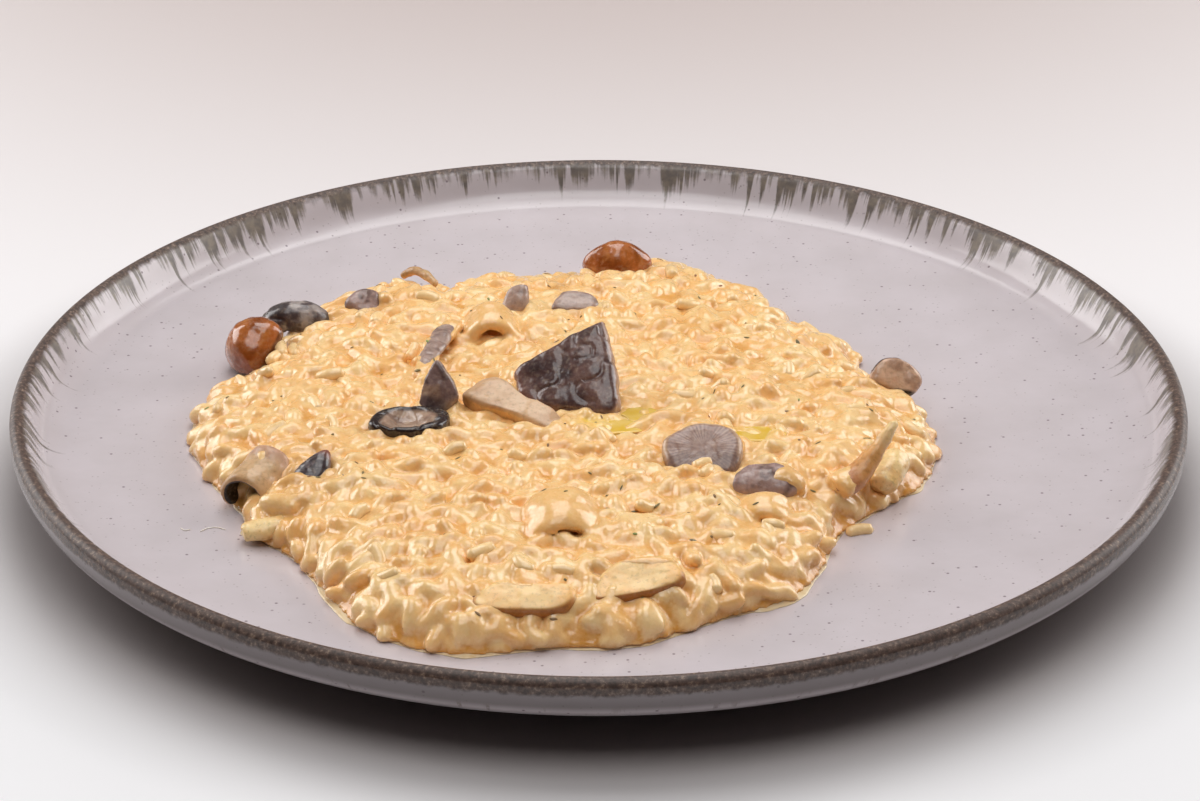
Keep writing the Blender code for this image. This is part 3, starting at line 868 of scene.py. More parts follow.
class Form:
    """A rounded form in the making: points with where each lies on it."""

    def __init__(self, points, share, side, turn, quads, tris):
        self.points, self.share, self.side, self.turn = points, share, side, turn
        self.quads, self.tris = facing_out(points, quads, tris)
        self.rest = points.copy()

    def push(self, amount):
        """Moves each point along its normal, in millimetres."""
        self.points += vertex_normals(self.points, self.quads, self.tris) * amount[:, None]

    def roughen(self, size, height, seed, octaves=3):
        self.push(height * rough(self.rest, size, seed, octaves))

    def crease(self, size, depth, seed):
        """Narrow folds that wander over the form, about size apart."""
        self.push(-depth * (1 - np.abs(lumps(self.rest, size, seed))) ** 7)


def slab(outline, thickness, crown=0.0, hollow=0.0, bend=0.0, edge=7.0, rings=26, steps=112):
    """A slice or a cap: a slab with a rounded rim over a closed outline.

    crown swells its top, hollow raises its underside, bend curls it along X and edge squares its rim."""
    rim = smooth_loop(outline, steps)
    middle = rim.mean(0)
    inner = np.sin(np.linspace(0, pi / 2, rings + 1)[1:-1])
    shares = np.concatenate([inner, [1.0], inner[::-1], [0.0, 0.0]])
    sides = np.concatenate([np.ones(rings - 1), [0.0], -np.ones(rings - 1), [1.0, -1.0]])
    share = np.concatenate([np.repeat(shares[:-2], steps), shares[-2:]])
    side = np.concatenate([np.repeat(sides[:-2], steps), sides[-2:]])
    loops = np.vstack([np.tile(rim, (len(shares) - 2, 1)), [middle, middle]])
    flat = middle + (loops - middle) * share[:, None]
    swell = np.where(side > 0, crown, np.where(side < 0, hollow, 0))
    z = side * thickness / 2 * np.sqrt(1 - share**edge) + swell * (1 - share**2)
    x, y = flat.T
    if bend:
        x, z = (bend + z) * np.sin(x / bend), (bend + z) * np.cos(x / bend) - bend
    turn = np.arctan2(flat[:, 1] - middle[1], flat[:, 0] - middle[0])
    quads, tris = ring_faces(len(shares) - 2, steps)
    form = Form(np.stack([x, y, z], axis=-1), share, side, turn, quads, tris)
    form.flat = flat
    return form


def stem(path, widths, heights, sides=40, steps=60):
    """A stem or a strip: oval sections along a smooth path, with rounded ends."""
    spine = smooth_path(path, steps)
    sizes = smooth_path([(w / 2, h / 2) for w, h in zip(widths, heights)], steps)
    along = np.gradient(spine, axis=0)
    along /= np.linalg.norm(along, axis=1, keepdims=True)
    aside = np.cross(along, (0, 0, 1))
    aside /= np.linalg.norm(aside, axis=1, keepdims=True)
    upward = np.cross(aside, along)
    place_along = np.linspace(0, 1, steps)
    taper = np.sqrt(1 - np.abs(2 * place_along - 1) ** 14 * 0.82)
    angle = np.arange(sides) * 2 * pi / sides
    ring = (aside[:, None] * (sizes[:, :1] * taper[:, None] * np.cos(angle))[..., None]
            + upward[:, None] * (sizes[:, 1:] * taper[:, None] * np.sin(angle))[..., None])
    ends = [spine[0] - along[0] * sizes[0, 1] * 0.3, spine[-1] + along[-1] * sizes[-1, 1] * 0.3]
    points = np.vstack([(spine[:, None] + ring).reshape(-1, 3), ends])
    share = np.concatenate([np.repeat(place_along, sides), [0, 1]])
    side = np.concatenate([np.tile(np.sin(angle), steps), [0, 0]])
    turn = np.concatenate([np.tile(angle, steps), [0, 0]])
    quads, tris = ring_faces(steps, sides)
    return Form(points, share, side, turn, quads, tris)


def oval(length, width):
    """The four ends of an oval outline."""
    return [(length / 2, 0), (0, width / 2), (-length / 2, 0), (0, -width / 2)]


def lay(form, lean_bearing=0.0, lean=0.0, spin=0.0):
    """Spins a form in plan, then leans its top towards a bearing, in degrees."""
    bearing = Matrix.Rotation(radians(lean_bearing), 3, "Z")
    tilt = Matrix.Rotation(radians(lean), 3, "Y")
    turned = bearing @ tilt @ bearing.inverted() @ Matrix.Rotation(radians(spin), 3, "Z")
    form.points = form.points @ np.array(turned).T


def seat(form, name):
    """Moves a form so that its box has the same middle as its CAD node's."""
    low, high = (np.array(corner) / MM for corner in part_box(name))
    form.points += (low + high) / 2 - (form.points.min(0) + form.points.max(0)) / 2


def patchy(form, first, second, size, seed, low=-0.4, high=0.6, octaves=3):
    """Two colours in cloudy patches about size millimetres across."""
    return tint(first, second, ease(rough(form.rest, size, seed, octaves), low, high))


def dark_cap(form):
    """Skin of a dark cap: aubergine, redder where it thins towards the rim."""
    p = form.rest
    colour = patchy(form, "#70554F", "#4E3A39", 6.0, 3, -0.5, 0.8)
    colour = tint(colour, "#7A564B", 0.6 * ease(form.share, 0.80, 1.0) * ease(lumps(p, 4.0, 9), -0.5, 0.6))
    return tint(colour, "#33272A", 0.6 * ease(rough(p, 3.4, 5), 0.3, 1.0))


def chestnut_cap(form):
    """Skin of a young brown cap: orange-brown, darker under its rim."""
    p = form.rest
    colour = patchy(form, "#B4672F", "#8C4715", 6.0, 13, -0.4, 0.8)
    colour = tint(colour, "#5E2F10", 0.8 * ease(-form.side + form.share, 0.7, 1.6))
    return tint(colour, "#D08A4A", 0.5 * ease(rough(p, 3.0, 17), 0.3, 1.0))


def grey_flesh(form):
    """Old flesh: brown-grey with fine lines, and tan where it is cut."""
    p = form.rest
    colour = tint("#B0968A", "#856B61", ease(rough(p * (0.30, 1, 1), 1.6, 23), -0.4, 0.7))
    colour = tint(colour, "#C3A386", 0.8 * ease(form.share, 0.86, 1.0) * ease(lumps(p, 5.0, 29), -0.4, 0.5))
    return tint(colour, "#3F302D", 0.5 * ease(lumps(p, 3.0, 31), 0.35, 0.9))


def tan_flesh(form):
    """Flesh of a stem: tan, warmer underneath, with a few brown spots."""
    p = form.rest
    colour = patchy(form, "#CFA87B", "#B98B5C", 5.0, 37, -0.5, 0.8)
    colour = tint(colour, "#D69A55", 0.6 * ease(-form.side, -0.2, 0.8))
    return tint(colour, "#8B5E38", 0.5 * ease(rough(p, 2.0, 43), 0.5, 1.1))


def coated_flesh(form):
    """Flesh that the cream covers: pale on top and brown underneath."""
    colour = patchy(form, "#F3CF96", "#E3B277", 5.0, 47, -0.5, 0.8)
    return tint(colour, "#A8713E", 0.80 * ease(-form.side, 0.2, 0.9))


def plain_touch(form, colour):
    """Keeps the slot's own colours."""
    return colour


def quarter_touch(form, colour):
    """The quarter cap: a tan cut down its right side and a redder rim on its left."""
    x = form.flat[:, 0]
    cut = ease(form.share, 0.93, 0.99) * ease(x, 7.0, 9.0)
    colour = tint(colour, "#B08A72", 0.9 * cut)
    red = ease(form.share, 0.80, 1.0) * ease(-x, 4.0, 9.0)
    return tint(colour, "#7A4334", 0.7 * red)


def curled_touch(form, colour):
    """The curled cap: its pale gills show inside a near-black rim."""
    colour = patchy(form, "#B3957F", "#8A6E5E", 3.0, 3)
    rim = ease(form.share + 0.10 * lumps(form.rest, 3.0, 5), 0.64, 0.76)
    return tint(colour, "#2C1F1E", np.maximum(rim, ease(-form.side, -0.1, 0.3)))


def wedge_touch(form, colour):
    """The wedge: grey-purple with tan patches."""
    colour = patchy(form, "#836A66", "#5F4A48", 3.0, 7)
    return tint(colour, "#B08E74", 0.8 * ease(lumps(form.rest, 4.0, 2), 0.1, 0.5))


def slice_touch(form, colour):
    """The long slice of stem: a buff face with a warmer, lighter cut edge."""
    colour = patchy(form, "#DDB892", "#C99F78", 6.0, 7)
    side = ease(form.share, 0.96, 0.99) * ease(-form.flat[:, 1], -3.0, 1.0)
    colour = tint(colour, "#F4C686", 0.9 * side)
    return tint(colour, "#7A4A2C", 0.8 * ease(-form.flat[:, 0], 8.0, 11.5) * ease(form.share, 0.95, 0.99))


def tube_touch(form, colour):
    """The hollow curl: tan outside, and painted shade, nearly black, in its mouth."""
    colour = tint(colour, "#C99A86", 0.5 * ease(form.flat[:, 1], 1.0, 5.0))
    # Painted shade: the side that faces into the curl's mouth is nearly black.
    return tint(colour, "#1E130C", ease(-form.side, 0.0, 0.3))


def mottled_touch(form, colour):
    """Old cap skin: grey, with paler and nearly black patches."""
    colour = patchy(form, "#A0948F", "#574A4A", 2.6, 13, -0.35, 0.35, 4)
    return tint(colour, "#2F2627", 0.7 * ease(lumps(form.rest, 4.0, 14), 0.2, 0.7))


def gilled_touch(form, colour):
    """A slice with its gills cut across: fine lines that fan out inside a tan border."""
    fan = np.sin(form.turn * 46 + 2.0 * lumps(form.rest, 4.0, 24)) * ease(form.share, 0.25, 0.5)
    colour = tint("#B08F80", "#86685C", 0.5 + 0.5 * fan)
    colour = tint(colour, "#5E4D4A", 0.6 * ease(-form.flat[:, 1], -1.0, 4.0))
    return tint(colour, "#C9A684", 0.9 * ease(form.share, 0.84, 0.94) * ease(form.flat[:, 1], -4.0, 0.0))


def purple_touch(form, colour):
    """A slice under thin cream: purple-brown, pinker where it is thin."""
    colour = patchy(form, "#A98D86", "#6F5750", 3.0, 18, -0.4, 0.5)
    return tint(colour, "#D2A68C", 0.7 * ease(lumps(form.rest, 4.0, 19), 0.0, 0.6))


def leaf_touch(form, colour):
    """The leaf-shaped piece: mottled grey-black, redder at one tip."""
    colour = patchy(form, "#7B6F70", "#3F3538", 2.2, 15, -0.35, 0.35, 4)
    return tint(colour, "#8A4A3C", 0.8 * ease(form.flat[:, 0], 5.0, 8.0))


def brown_touch(form, colour):
    """A slice across a small cap: its mauve-tan face inside a thin, nearly black skin, with a painted shadow
    in a cleft near its front edge.
    """
    colour = patchy(form, "#DDB596", "#BD957A", 3.0, 16, -0.4, 0.5)
    colour = tint(colour, "#4A3833", ease(form.share, 0.93, 0.98) * ease(form.flat[:, 1], -0.5, 1.5))
    # Painted shadow: a nearly black patch where a cleft runs into the face.
    return tint(colour, "#2A211B", ease(-form.flat[:, 1], 2.2, 3.0) * ease(form.flat[:, 0], -1.5, 1.0))


def horn_touch(form, colour):
    """The stem like a horn: pale at its tip, then orange-tan, then pink-brown at its foot."""
    colour = patchy(form, "#E0A25E", "#D08F52", 4.0, 17)
    colour = tint(colour, "#F7D69A", ease(form.share, 0.55, 0.95))
    return tint(colour, "#C17B54", 0.9 * ease(-form.share, -0.40, -0.05))


def front_touch(form, colour):
    """The front slabs: creamy on top and toasted brown along the front edge."""
    colour = patchy(form, "#FFD695", "#FBC67E", 4.0, 7)
    return tint(colour, "#B06C28", 0.95 * ease(form.share, 0.86, 0.95) * ease(-form.flat[:, 1], -2.0, 1.0))


def pale_touch(form, colour):
    """Pale flesh under thin cream."""
    return patchy(form, "#FBDA9C", "#EFC07A", 3.0, 7)


TOUCHES = {
    "cap_wrinkled_left": mottled_touch,
    "slice_purple_right": purple_touch,
    "slab_grey_right": gilled_touch,
    "cap_purple_left": purple_touch,
    "leaf_dark_left": leaf_touch,
    "cap_slice_right": brown_touch,
    "stem_horn_right": horn_touch,
    "cap_quarter_dark": quarter_touch,
    "cap_curled_dark": curled_touch,
    "wedge_upright_dark": wedge_touch,
    "stem_slice_long": slice_touch,
    "curl_hollow_left": tube_touch,
    "slab_broad_front": front_touch,
    "slab_pointed_front": front_touch,
    "stem_barrel_right": pale_touch,
    "stem_coated_right": pale_touch,
    "chunk_pale_left": pale_touch,
}

PAINTS = {
    "mushroom_dark": (dark_cap, 0.9),
    "mushroom_chestnut": (chestnut_cap, 0.9),
    "mushroom_grey": (grey_flesh, 0.7),
    "mushroom_tan": (tan_flesh, 0.5),
    "mushroom_coated": (coated_flesh, 0.6),
}


def cap_forms():
    """Slices and caps: name, form, and how it leans and is spun."""
    return [
        ("cap_quarter_dark", slab(
            [(-13, 1.5), (-12.2, 5.2), (-7.5, 7.4), (-3, 8.4), (2.5, 11.4), (8.4, 13.2), (9.5, 12.4),
             (10.4, 4), (11.4, -6), (10.9, -10.6), (8, -12), (0, -9.6), (-7, -7.0), (-11.8, -3)],
            5.6, 1.2, edge=14, rings=40, steps=240), (-113, 36)),
        ("cap_curled_dark", slab([(-9, -2), (-6, 4.4), (2, 6), (9, 3.4), (8, -4), (1, -7), (-6, -6)],
                                 6.4, -3.2, -0.6, edge=5), (-95, -3)),
        ("wedge_upright_dark", slab([(-4.0, -5), (-4.2, 0), (-1.6, 4.4), (0.8, 7.0), (3.0, 3.6), (4.6, -1),
                                     (3.4, -5.5)], 3.2, 0.5, edge=10), (-100, 64)),
        ("stem_slice_long", slab(
            [(-13, -2), (-8.5, 6), (0, 3), (8, 1.2), (13.5, -1.5), (12, -5.5), (2, -4), (-8, -4)],
            4.8, 0.2, edge=18, rings=34, steps=180), (-90, 16, -24)),
        ("cap_chestnut_left", slab(oval(15.5, 17.0), 6.0, 4.0, 1.5), (200, 46)),
        ("cap_wrinkled_left", slab([(-9, -3), (-6, 3.5), (2, 4.5), (9.5, 1), (7, -3.5), (-2, -4)],
                                   3.8, 2.4, 1.8, 12.0), (-80, 14, 2)),
        ("cap_chestnut_back", slab(oval(17, 13), 4.6, 4.0, 2.4), (-90, 12)),
        ("cap_purple_left", slab([(-4, -2.5), (-2, 3), (3.5, 3.5), (3, -3.5)], 3.2, 0.8), (-60, 34)),
        ("hood_coated", slab([(-9.5, -4), (-7, 4), (0, 5), (7, 4), (9.5, -4), (0, -4)],
                             2.6, bend=5.2), (-90, 8, 4)),
        ("tip_grey_back", slab([(-3.8, -3), (-1, 3.2), (3.8, 3.6), (2.6, -2.6)], 3.0, 0.6), (-110, 50)),
        ("sliver_grey_back", slab([(-5.5, -3), (-3, 3.4), (4, 3), (5.5, -2)], 2.4, 0.5), (-80, 18)),
        ("cap_slice_right", slab([(-6, -1), (-3.5, 4), (2.5, 4.2), (6, 0.5), (4, -3.6), (-1, -3.2)],
                                 2.4, 0.5, 0.2, edge=10), (-75, 54)),
        ("slab_grey_right", slab([(-8.6, 3), (-2, 7), (6.5, 6), (8.8, 0), (6, -6.5), (-1, -6.8), (-7, -5)],
                                 3.4, 0.4, edge=14), (-95, 24)),
        ("slice_purple_right", slab([(-8, -1), (-4, 4.5), (4, 4.5), (8, 0), (5, -4), (-3, -4)],
                                    3.4, 1.6), (-90, 22)),
        ("curl_arched_right", slab([(-8, -3), (-6, 3), (0, 3.4), (6, 3), (8, -3), (0, -3.4)],
                                   2.6, bend=4.8), (-90, 14)),
        ("leaf_dark_left", slab([(-8.2, 0), (-2, 3.2), (4, 3), (8.4, 0.4), (3, -3), (-3, -2.6)],
                                2.8, 0.8), (-100, 28, 60)),
        ("curl_coated_front", slab([(-11, -5), (-9, 5.5), (0, 7.5), (9, 5.5), (11, -5), (0, -6.5)],
                                   3.0, bend=7.2), (-90, 10, 4)),
        ("curl_hollow_left", slab([(-11, -5), (-9, 5), (0, 6.5), (9, 5.5), (11, -5), (0, -5.5)],
                                  2.4, bend=5.2), (-120, 12, -28)),
        ("slab_broad_front", slab([(-9.5, -3.5), (-7, 4), (1, 6), (8, 5), (10, -1), (4, -3.5)],
                                  3.4, 0.2, edge=14), (-90, 16, 11)),
        ("slab_pointed_front", slab([(-11, -2.5), (-8, 3.6), (0, 4), (8, 4.2), (10, 0.5), (5, -3)],
                                    3.0, 0.2, edge=14), (-90, 20, -2)),
    ]


def stem_forms():
    """Stems and strips: name and form."""
    return [
        ("stem_horn_right", stem(
            [(52.4, -48.8, 17.4), (57.4, -45.2, 19.6), (61.6, -42.0, 24.0), (65.6, -39.2, 29.0)],
            (8.2, 5.8, 3.9, 2.1), (5.0, 4.6, 3.6, 2.1))),
        ("stem_barrel_right", stem([(66.6, -33.2, 17.0), (65.0, -37.4, 15.8), (62.8, -42.4, 14.0)],
                                   (6.0, 7.2, 6.2), (5.4, 6.4, 5.4))),
        ("stem_coated_right", stem([(69.6, -0.6, 15.6), (70.8, -4.6, 14.6), (71.6, -8.8, 12.8)],
                                   (3.4, 4.4, 3.6), (3.0, 4.0, 3.2))),
        ("strip_back", stem([(-49.0, 63.0, 17.8), (-45.0, 61.6, 19.8), (-40.2, 56.4, 18.6)],
                            (2.0, 2.8, 2.0), (2.0, 2.2, 2.0))),
        ("strip_curved_left", stem(
            [(-34.6, 26.2, 21.8), (-37.4, 18.4, 22.2), (-39.6, 8.2, 22.0), (-41.2, -0.2, 21.0)],
            (4.0, 5.2, 4.4, 2.6), (2.4, 2.6, 2.4, 1.8))),
        ("chunk_pale_left", stem([(-77.2, -59.4, 11.8), (-72.2, -58.6, 12.6), (-66.6, -57.0, 13.0)],
                                 (4.8, 6.2, 5.4), (3.8, 4.6, 4.2))),
    ]


CREASED = ("cap_quarter", "cap_wrinkled", "cap_curled", "wedge", "leaf")


def shape_mushrooms():
    """Every piece of mushroom as a form in its place: name and form."""
    forms = []
    for name, form, leaning in cap_forms():
        form.roughen(7.0, 0.45, len(name), 2)
        form.roughen(2.2, 0.12, len(name) + 3, 2)
        if name.startswith(CREASED):
            form.crease(5.0, 0.55, len(name) + 5)
        lay(form, *leaning)
        seat(form, name)
        forms.append((name, form))
    for name, form in stem_forms():
        form.roughen(3.0, 0.26, len(name))
        seat(form, name)
        forms.append((name, form))
    return forms


def make_mushrooms(forms):
    """Paints every form and adds it with the skin of its CAD node's slot, in place of that node."""
    slot_of = {row["node"]: row["material_slot"] for row in frame["record"]["subparts"]}
    skins = {
        "mushroom_dark": wet_mushroom("Dark mushroom cap skin", 0.45, 0.30, 2.6),
        "mushroom_chestnut": wet_mushroom("Chestnut mushroom cap skin", 0.8, 0.10, 4.0),
        "mushroom_grey": wet_mushroom("Grey mushroom flesh", 0.4, 0.22, 1.6),
        "mushroom_tan": wet_mushroom("Tan mushroom stem flesh", 0.3, 0.12, 2.4),
        "mushroom_coated": wet_mushroom("Cream-coated mushroom", 0.4, 0.20, 2.6),
    }
    for name, form in forms:
        slot = slot_of[name]
        painter, wetness = PAINTS[slot]
        colour = TOUCHES.get(name, plain_touch)(form, painter(form))
        wet = np.clip(wetness + 0.3 * lumps(form.rest, 3.0, 61), 0, 1)
        mesh = make_mesh("mushroom_" + name, form.points, form.quads, form.tris, colour, wet)
        add_piece("mushroom_" + name, mesh, skins[slot], slot, name)


# --- Herbs, loose grains, oil and thin cream ---


def surface_of(piece):
    """A finished piece's faces, ready for things to be dropped on."""
    mesh = piece.data
    return BVHTree.FromPolygons([v.co for v in mesh.vertices], [p.vertices for p in mesh.polygons])


def drop_on(tree, x, y):
    """Where something dropped at x, y lands, and which way the surface faces there."""
    hit, normal, _, _ = tree.ray_cast(Vector((x, y, 60)) * MM, Vector((0, 0, -1)))
    return (None, None) if hit is None else (np.array(hit) / MM, np.array(normal))


def axes_on(normal, bearing):
    """Three axes with the third along a normal and the first at a bearing in the surface."""
    first = np.array([cos(bearing), sin(bearing), 0])
    first = first - normal * first.dot(normal)
    first /= np.linalg.norm(first)
    return np.array([first, np.cross(normal, first), normal])


def joined(parts):
    """One set of points and faces from many (points, quads, tris) parts."""
    points, quads, tris, count = [], [], [], 0
    for part_points, part_quads, part_tris in parts:
        points.append(part_points)
        quads.append(part_quads + count)
        tris.append(part_tris + count)
        count += len(part_points)
    return np.vstack(points), np.vstack(quads), np.vstack(tris)


def plain_paint(parts, colours):
    """Each part's own colour, repeated for all its points."""
    return np.vstack([np.tile(colour, (len(part[0]), 1)) for part, colour in zip(parts, colours)])


def random_spots(survey, rng, count, least_reach):
    """Places in plan, at least so far inside the heap's outline."""
    spots = []
    while len(spots) < count:
        x = survey.low[0] + rng.uniform(0, survey.shape[0] - 1)
        y = survey.low[1] + rng.uniform(0, survey.shape[1] - 1)
        if survey.at(survey.reach, np.array([x]), np.array([y]))[0] > least_reach:
            spots.append((x, y))
    return spots


HERB_TONES = ("#7A6B38", "#86643A", "#645E38", "#84964A", "#98603A")
HERB_SHARES = (0.3, 0.3, 0.2, 0.1, 0.1)


def make_herbs(heap, survey, settings):
    """Flat flecks of chopped herb, each lying on the rice under it."""
    rng = np.random.default_rng(settings.seed + 1)
    tree = surface_of(heap)
    parts, colours = [], []
    for x, y in random_spots(survey, rng, settings.herb_count, 2.5):
        hit, normal = drop_on(tree, x, y)
        long, wide = rng.uniform(0.3, 1.0), rng.uniform(0.16, 0.40)
        leaf = slab([(long, 0), (0.3 * long, wide), (-0.7 * long, 0.7 * wide), (-long, -0.2 * wide),
                     (0, -wide)], 0.16, 0.05, rings=3, steps=10)
        axes = axes_on(normal, rng.uniform(0, 2 * pi))
        points = hit + leaf.points @ axes + normal * 0.05
        parts.append((points, leaf.quads, leaf.tris))
        colours.append(linear(HERB_TONES[rng.choice(len(HERB_TONES), p=HERB_SHARES)]))
    mesh = make_mesh("herb_flecks", *joined(parts), plain_paint(parts, colours))
    add_piece("herb_flecks", mesh, chopped_herb(), "risotto_rice")


# Grains that lie on their own: place in millimetres, and the bearing that they point to.
PLACED_GRAINS = (
    ((22.9, -43.0, 20.8), 30), ((-76.6, 19.0, 16.6), 60), ((-75.4, 22.6, 17.2), 100),
    ((-78.5, -39.6, 12.2), 20), ((-75.6, -38.6, 12.4), 120), ((57.1, -53.7, 9.9), 15),
)


def make_loose_grains(heap, survey, settings):
    """Single grains, half sunk in the heap, and the few that lie on their own."""
    rng = np.random.default_rng(settings.seed + 2)
    tree = surface_of(heap)
    spots = [drop_on(tree, x, y) for x, y in random_spots(survey, rng, settings.loose_count, 3.0)]
    # None on the mounds of coated mushroom, which stand above the heap's own top.
    spots = [spot for spot in spots if spot[0][2] < survey.at(survey.top, *spot[0][:2, None])[0] + 0.5]
    bearings = list(rng.uniform(0, 2 * pi, len(spots)))
    for spot, bearing in PLACED_GRAINS:
        spots.append((np.array(spot), np.array((0.0, 0.0, 1.0))))
        bearings.append(radians(bearing))
    parts, colours = [], []
    for (hit, normal), bearing in zip(spots, bearings):
        half = settings.grain_length / MM / 2 * rng.uniform(0.65, 0.95)
        wide = settings.grain_width / MM * rng.uniform(0.85, 1.0)
        bow = rng.uniform(0.2, 1.0)
        widths = (wide * 0.8, wide, wide * 0.84)
        grain = stem([(-half, 0, 0), (0, bow, 0), (half, 0, 0)], widths, widths, sides=10, steps=12)
        points = hit + grain.points @ axes_on(normal, bearing) - normal * wide * rng.uniform(0.05, 0.30)
        parts.append((points, grain.quads, grain.tris))
        colours.append(linear("#FFD89C") * rng.uniform(0.92, 1.0))
    paint = plain_paint(parts, colours)
    mesh = make_mesh("loose_grains", *joined(parts), paint, np.full(len(paint), 0.6))
    add_piece("loose_grains", mesh, creamy_rice("Loose boiled grain", 0.0), "risotto_rice")


def make_oil(heap, settings):
    """Small pools of oil: thin lenses at one level, with grains standing out of them."""
    tree = surface_of(heap)
    parts = []
    for x, y, long, wide in OIL_POOLS:
        turns = np.linspace(0, 2 * pi, 15)[:-1]
        across, along = long * np.cos(turns), wide * np.sin(turns)
        swing = 1 + 0.35 * lumps(np.stack([across, along, 0 * turns + x], -1), 2.5)
        outline = list(zip(long * swing * np.cos(turns), wide * swing * np.sin(turns)))
        pool = slab(outline, 0.5, 0.1, rings=10, steps=64)
        tests = [(x + u * share, y + v * share) for u, v in outline for share in (0.4, 0.8)]
        level = np.percentile([drop_on(tree, *test)[0][2] for test in tests], 22)
        parts.append((pool.points + (x, y, level), pool.quads, pool.tris))
    mesh = make_mesh("oil_pools", *joined(parts))
    add_piece("oil_pools", mesh, olive_oil(settings.oil_colour), "risotto_rice")


def heap_edge(steps):
    """The heap's outline at the plate's floor, as radius by bearing about the heap's middle."""
    low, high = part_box("risotto")
    middle = (low + high) / 2
    solid = frame["nodes"]["risotto"].data
    tree = BVHTree.FromPolygons([v.co for v in solid.vertices], [p.vertices for p in solid.polygons])
    radii = []
    for step in range(steps):
        angle = 2 * pi * step / steps
        out = Vector((cos(angle), sin(angle), 0))
        start = Vector((middle.x, middle.y, 0)) + out * 0.13
        start.z = floor_height(95) * MM + 1.2 * MM
        hit = tree.ray_cast(start, -out)[0]
        radii.append((Vector((hit.x - middle.x, hit.y - middle.y))).length / MM)
    return np.array([middle.x, middle.y]) / MM, np.array(radii)


def make_cream_skirt():
    """A film of thin cream that has crept out from under the heap's edge."""
    steps = 720
    middle, edge = heap_edge(steps)
    angle = np.arange(steps) * 2 * pi / steps
    around = np.stack([np.cos(angle), np.sin(angle), 0 * angle], axis=-1) * 90
    creep = 1.4 * ease(rough(around, 16.0, 71), 0.0, 0.9) + 0.2 * lumps(around, 3.0, 73)
    shares = np.linspace(0, 1, 10)
    rings = []
    for share in shares:
        radius = edge - 3.0 + (creep + 3.0) * share
        height = 0.12 + 1.0 * (1 - share) ** 0.5 * (1 - share**3)
        x = middle[0] + radius * np.cos(angle)
        y = middle[1] + radius * np.sin(angle)
        rings.append(np.stack([x, y, floor_height(np.hypot(x, y)) + height], axis=-1))
    for share in shares[::-1]:
        radius = edge - 3.0 + (creep + 3.0) * share
        x = middle[0] + radius * np.cos(angle)
        y = middle[1] + radius * np.sin(angle)
        rings.append(np.stack([x, y, floor_height(np.hypot(x, y)) + 0.04], axis=-1))
    points = np.vstack(rings)
    quads, tris = ring_faces(len(rings), steps, closed_ends=False)
    index = np.arange(len(rings) * steps).reshape(len(rings), steps)
    last, first = index[-1], index[0]
    closing = np.stack([last, first, np.roll(first, -1), np.roll(last, -1)], axis=-1)
    mesh = make_mesh("cream_skirt", points, np.vstack([quads, closing]), tris)
    add_piece("cream_skirt", mesh, sauce_film("Thin starchy cream", "#EACB98", "#F6E2BE"), "risotto_rice")


# Dried threads of sauce on the plate: points in plan, in millimetres.
DRIED_THREADS = (
    ((-87.0, -54.6), (-85.6, -52.9), (-83.6, -52.4), (-81.6, -53.4)),
    ((-91.4, -53.2), (-90.4, -54.2), (-89.2, -53.6)),
)


def make_dried_threads():
    """Thin threads where drops of sauce have dried on the glaze."""
    parts = []
    for line in DRIED_THREADS:
        path = [(x, y, floor_height(np.hypot(x, y)) + 0.10) for x, y in line]
        thread = stem(path, np.full(len(path), 0.36), np.full(len(path), 0.22), sides=8, steps=24)
        parts.append((thread.points, thread.quads, thread.tris))
    dried = sauce_film("Dried starchy cream", "#F4E9DC", "#FFFAF2")
    add_piece("dried_threads", make_mesh("dried_threads", *joined(parts)), dried, "risotto_rice")


# --- Stage ---

CAMERA_PLACE = (0.0003, -0.6937, 0.3587)
CAMERA_AIM = (0.0003, 0.0331, -0.002)


def paper_sweep():
    """Matt white paper, with painted shade that greys it behind the plate and a painted shadow that darkens
    it round the plate.
    """
    material, tree, shader = new_material("White paper sweep")
    far, near = (node(tree, "ShaderNodeVectorMath", {0: place(tree), 1: centre}, operation="DISTANCE")
                 for centre in ((0.0, 0.50, 0.0), (0.0, 0.0, 0.0)))
    # Painted shade: the paper greys towards a point behind the plate.
    tone = mixed(tree, span(tree, far.outputs["Value"], 0.10, 0.60), rgba("#BEB0AC"), rgba("#F3F1F2"))
    # Painted shadow: the paper is dark within about 0.12 m of the plate's middle, clearing by 0.168 m.
    clear = span(tree, near.outputs["Value"], 0.120, 0.168)
    tone = mixed(tree, clear, rgba("#8A807D"), tone)
    tree.links.new(tone, shader.inputs["Base Color"])
    shader.inputs["Roughness"].default_value = 0.6
    return material


def make_floor():
    """A pale floor that runs up into a backdrop in one sweep behind the plate."""
    front, start, radius, top, half = -2.5, 1.95, 0.30, 2.5, 2.5
    line = [(front, 0.0), (start, 0.0)]
    line += [(start + radius * sin(a), radius * (1 - cos(a))) for a in np.linspace(0, pi / 2, 24)[1:]]
    line.append((start + radius, top))
    points = [(side * half, y, z) for y, z in line for side in (-1, 1)]
    faces = [(2 * i, 2 * i + 1, 2 * i + 3, 2 * i + 2) for i in range(len(line) - 1)]
    mesh = bpy.data.meshes.new("backdrop")
    mesh.from_pydata(points, [], faces)
    mesh.shade_smooth()
    mesh.materials.append(paper_sweep())
    item = bpy.data.objects.new("backdrop", mesh)
    bpy.context.scene.collection.objects.link(item)


# Soft boxes: name, place and the point it faces in metres, width in metres, power in watts.
PANELS = (
    ("back_panel", (0.0, 0.42, 0.80), (0, 0.02, 0), 0.5, 3.0),
    ("top_panel", (0.0, -0.22, 0.95), (0, 0, 0), 0.7, 4.7),
    ("left_panel", (-0.75, 0.42, 0.38), (0, 0, 0), 0.6, 4.9),
    ("right_panel", (0.75, 0.42, 0.38), (0, 0, 0), 0.6, 4.7),
)


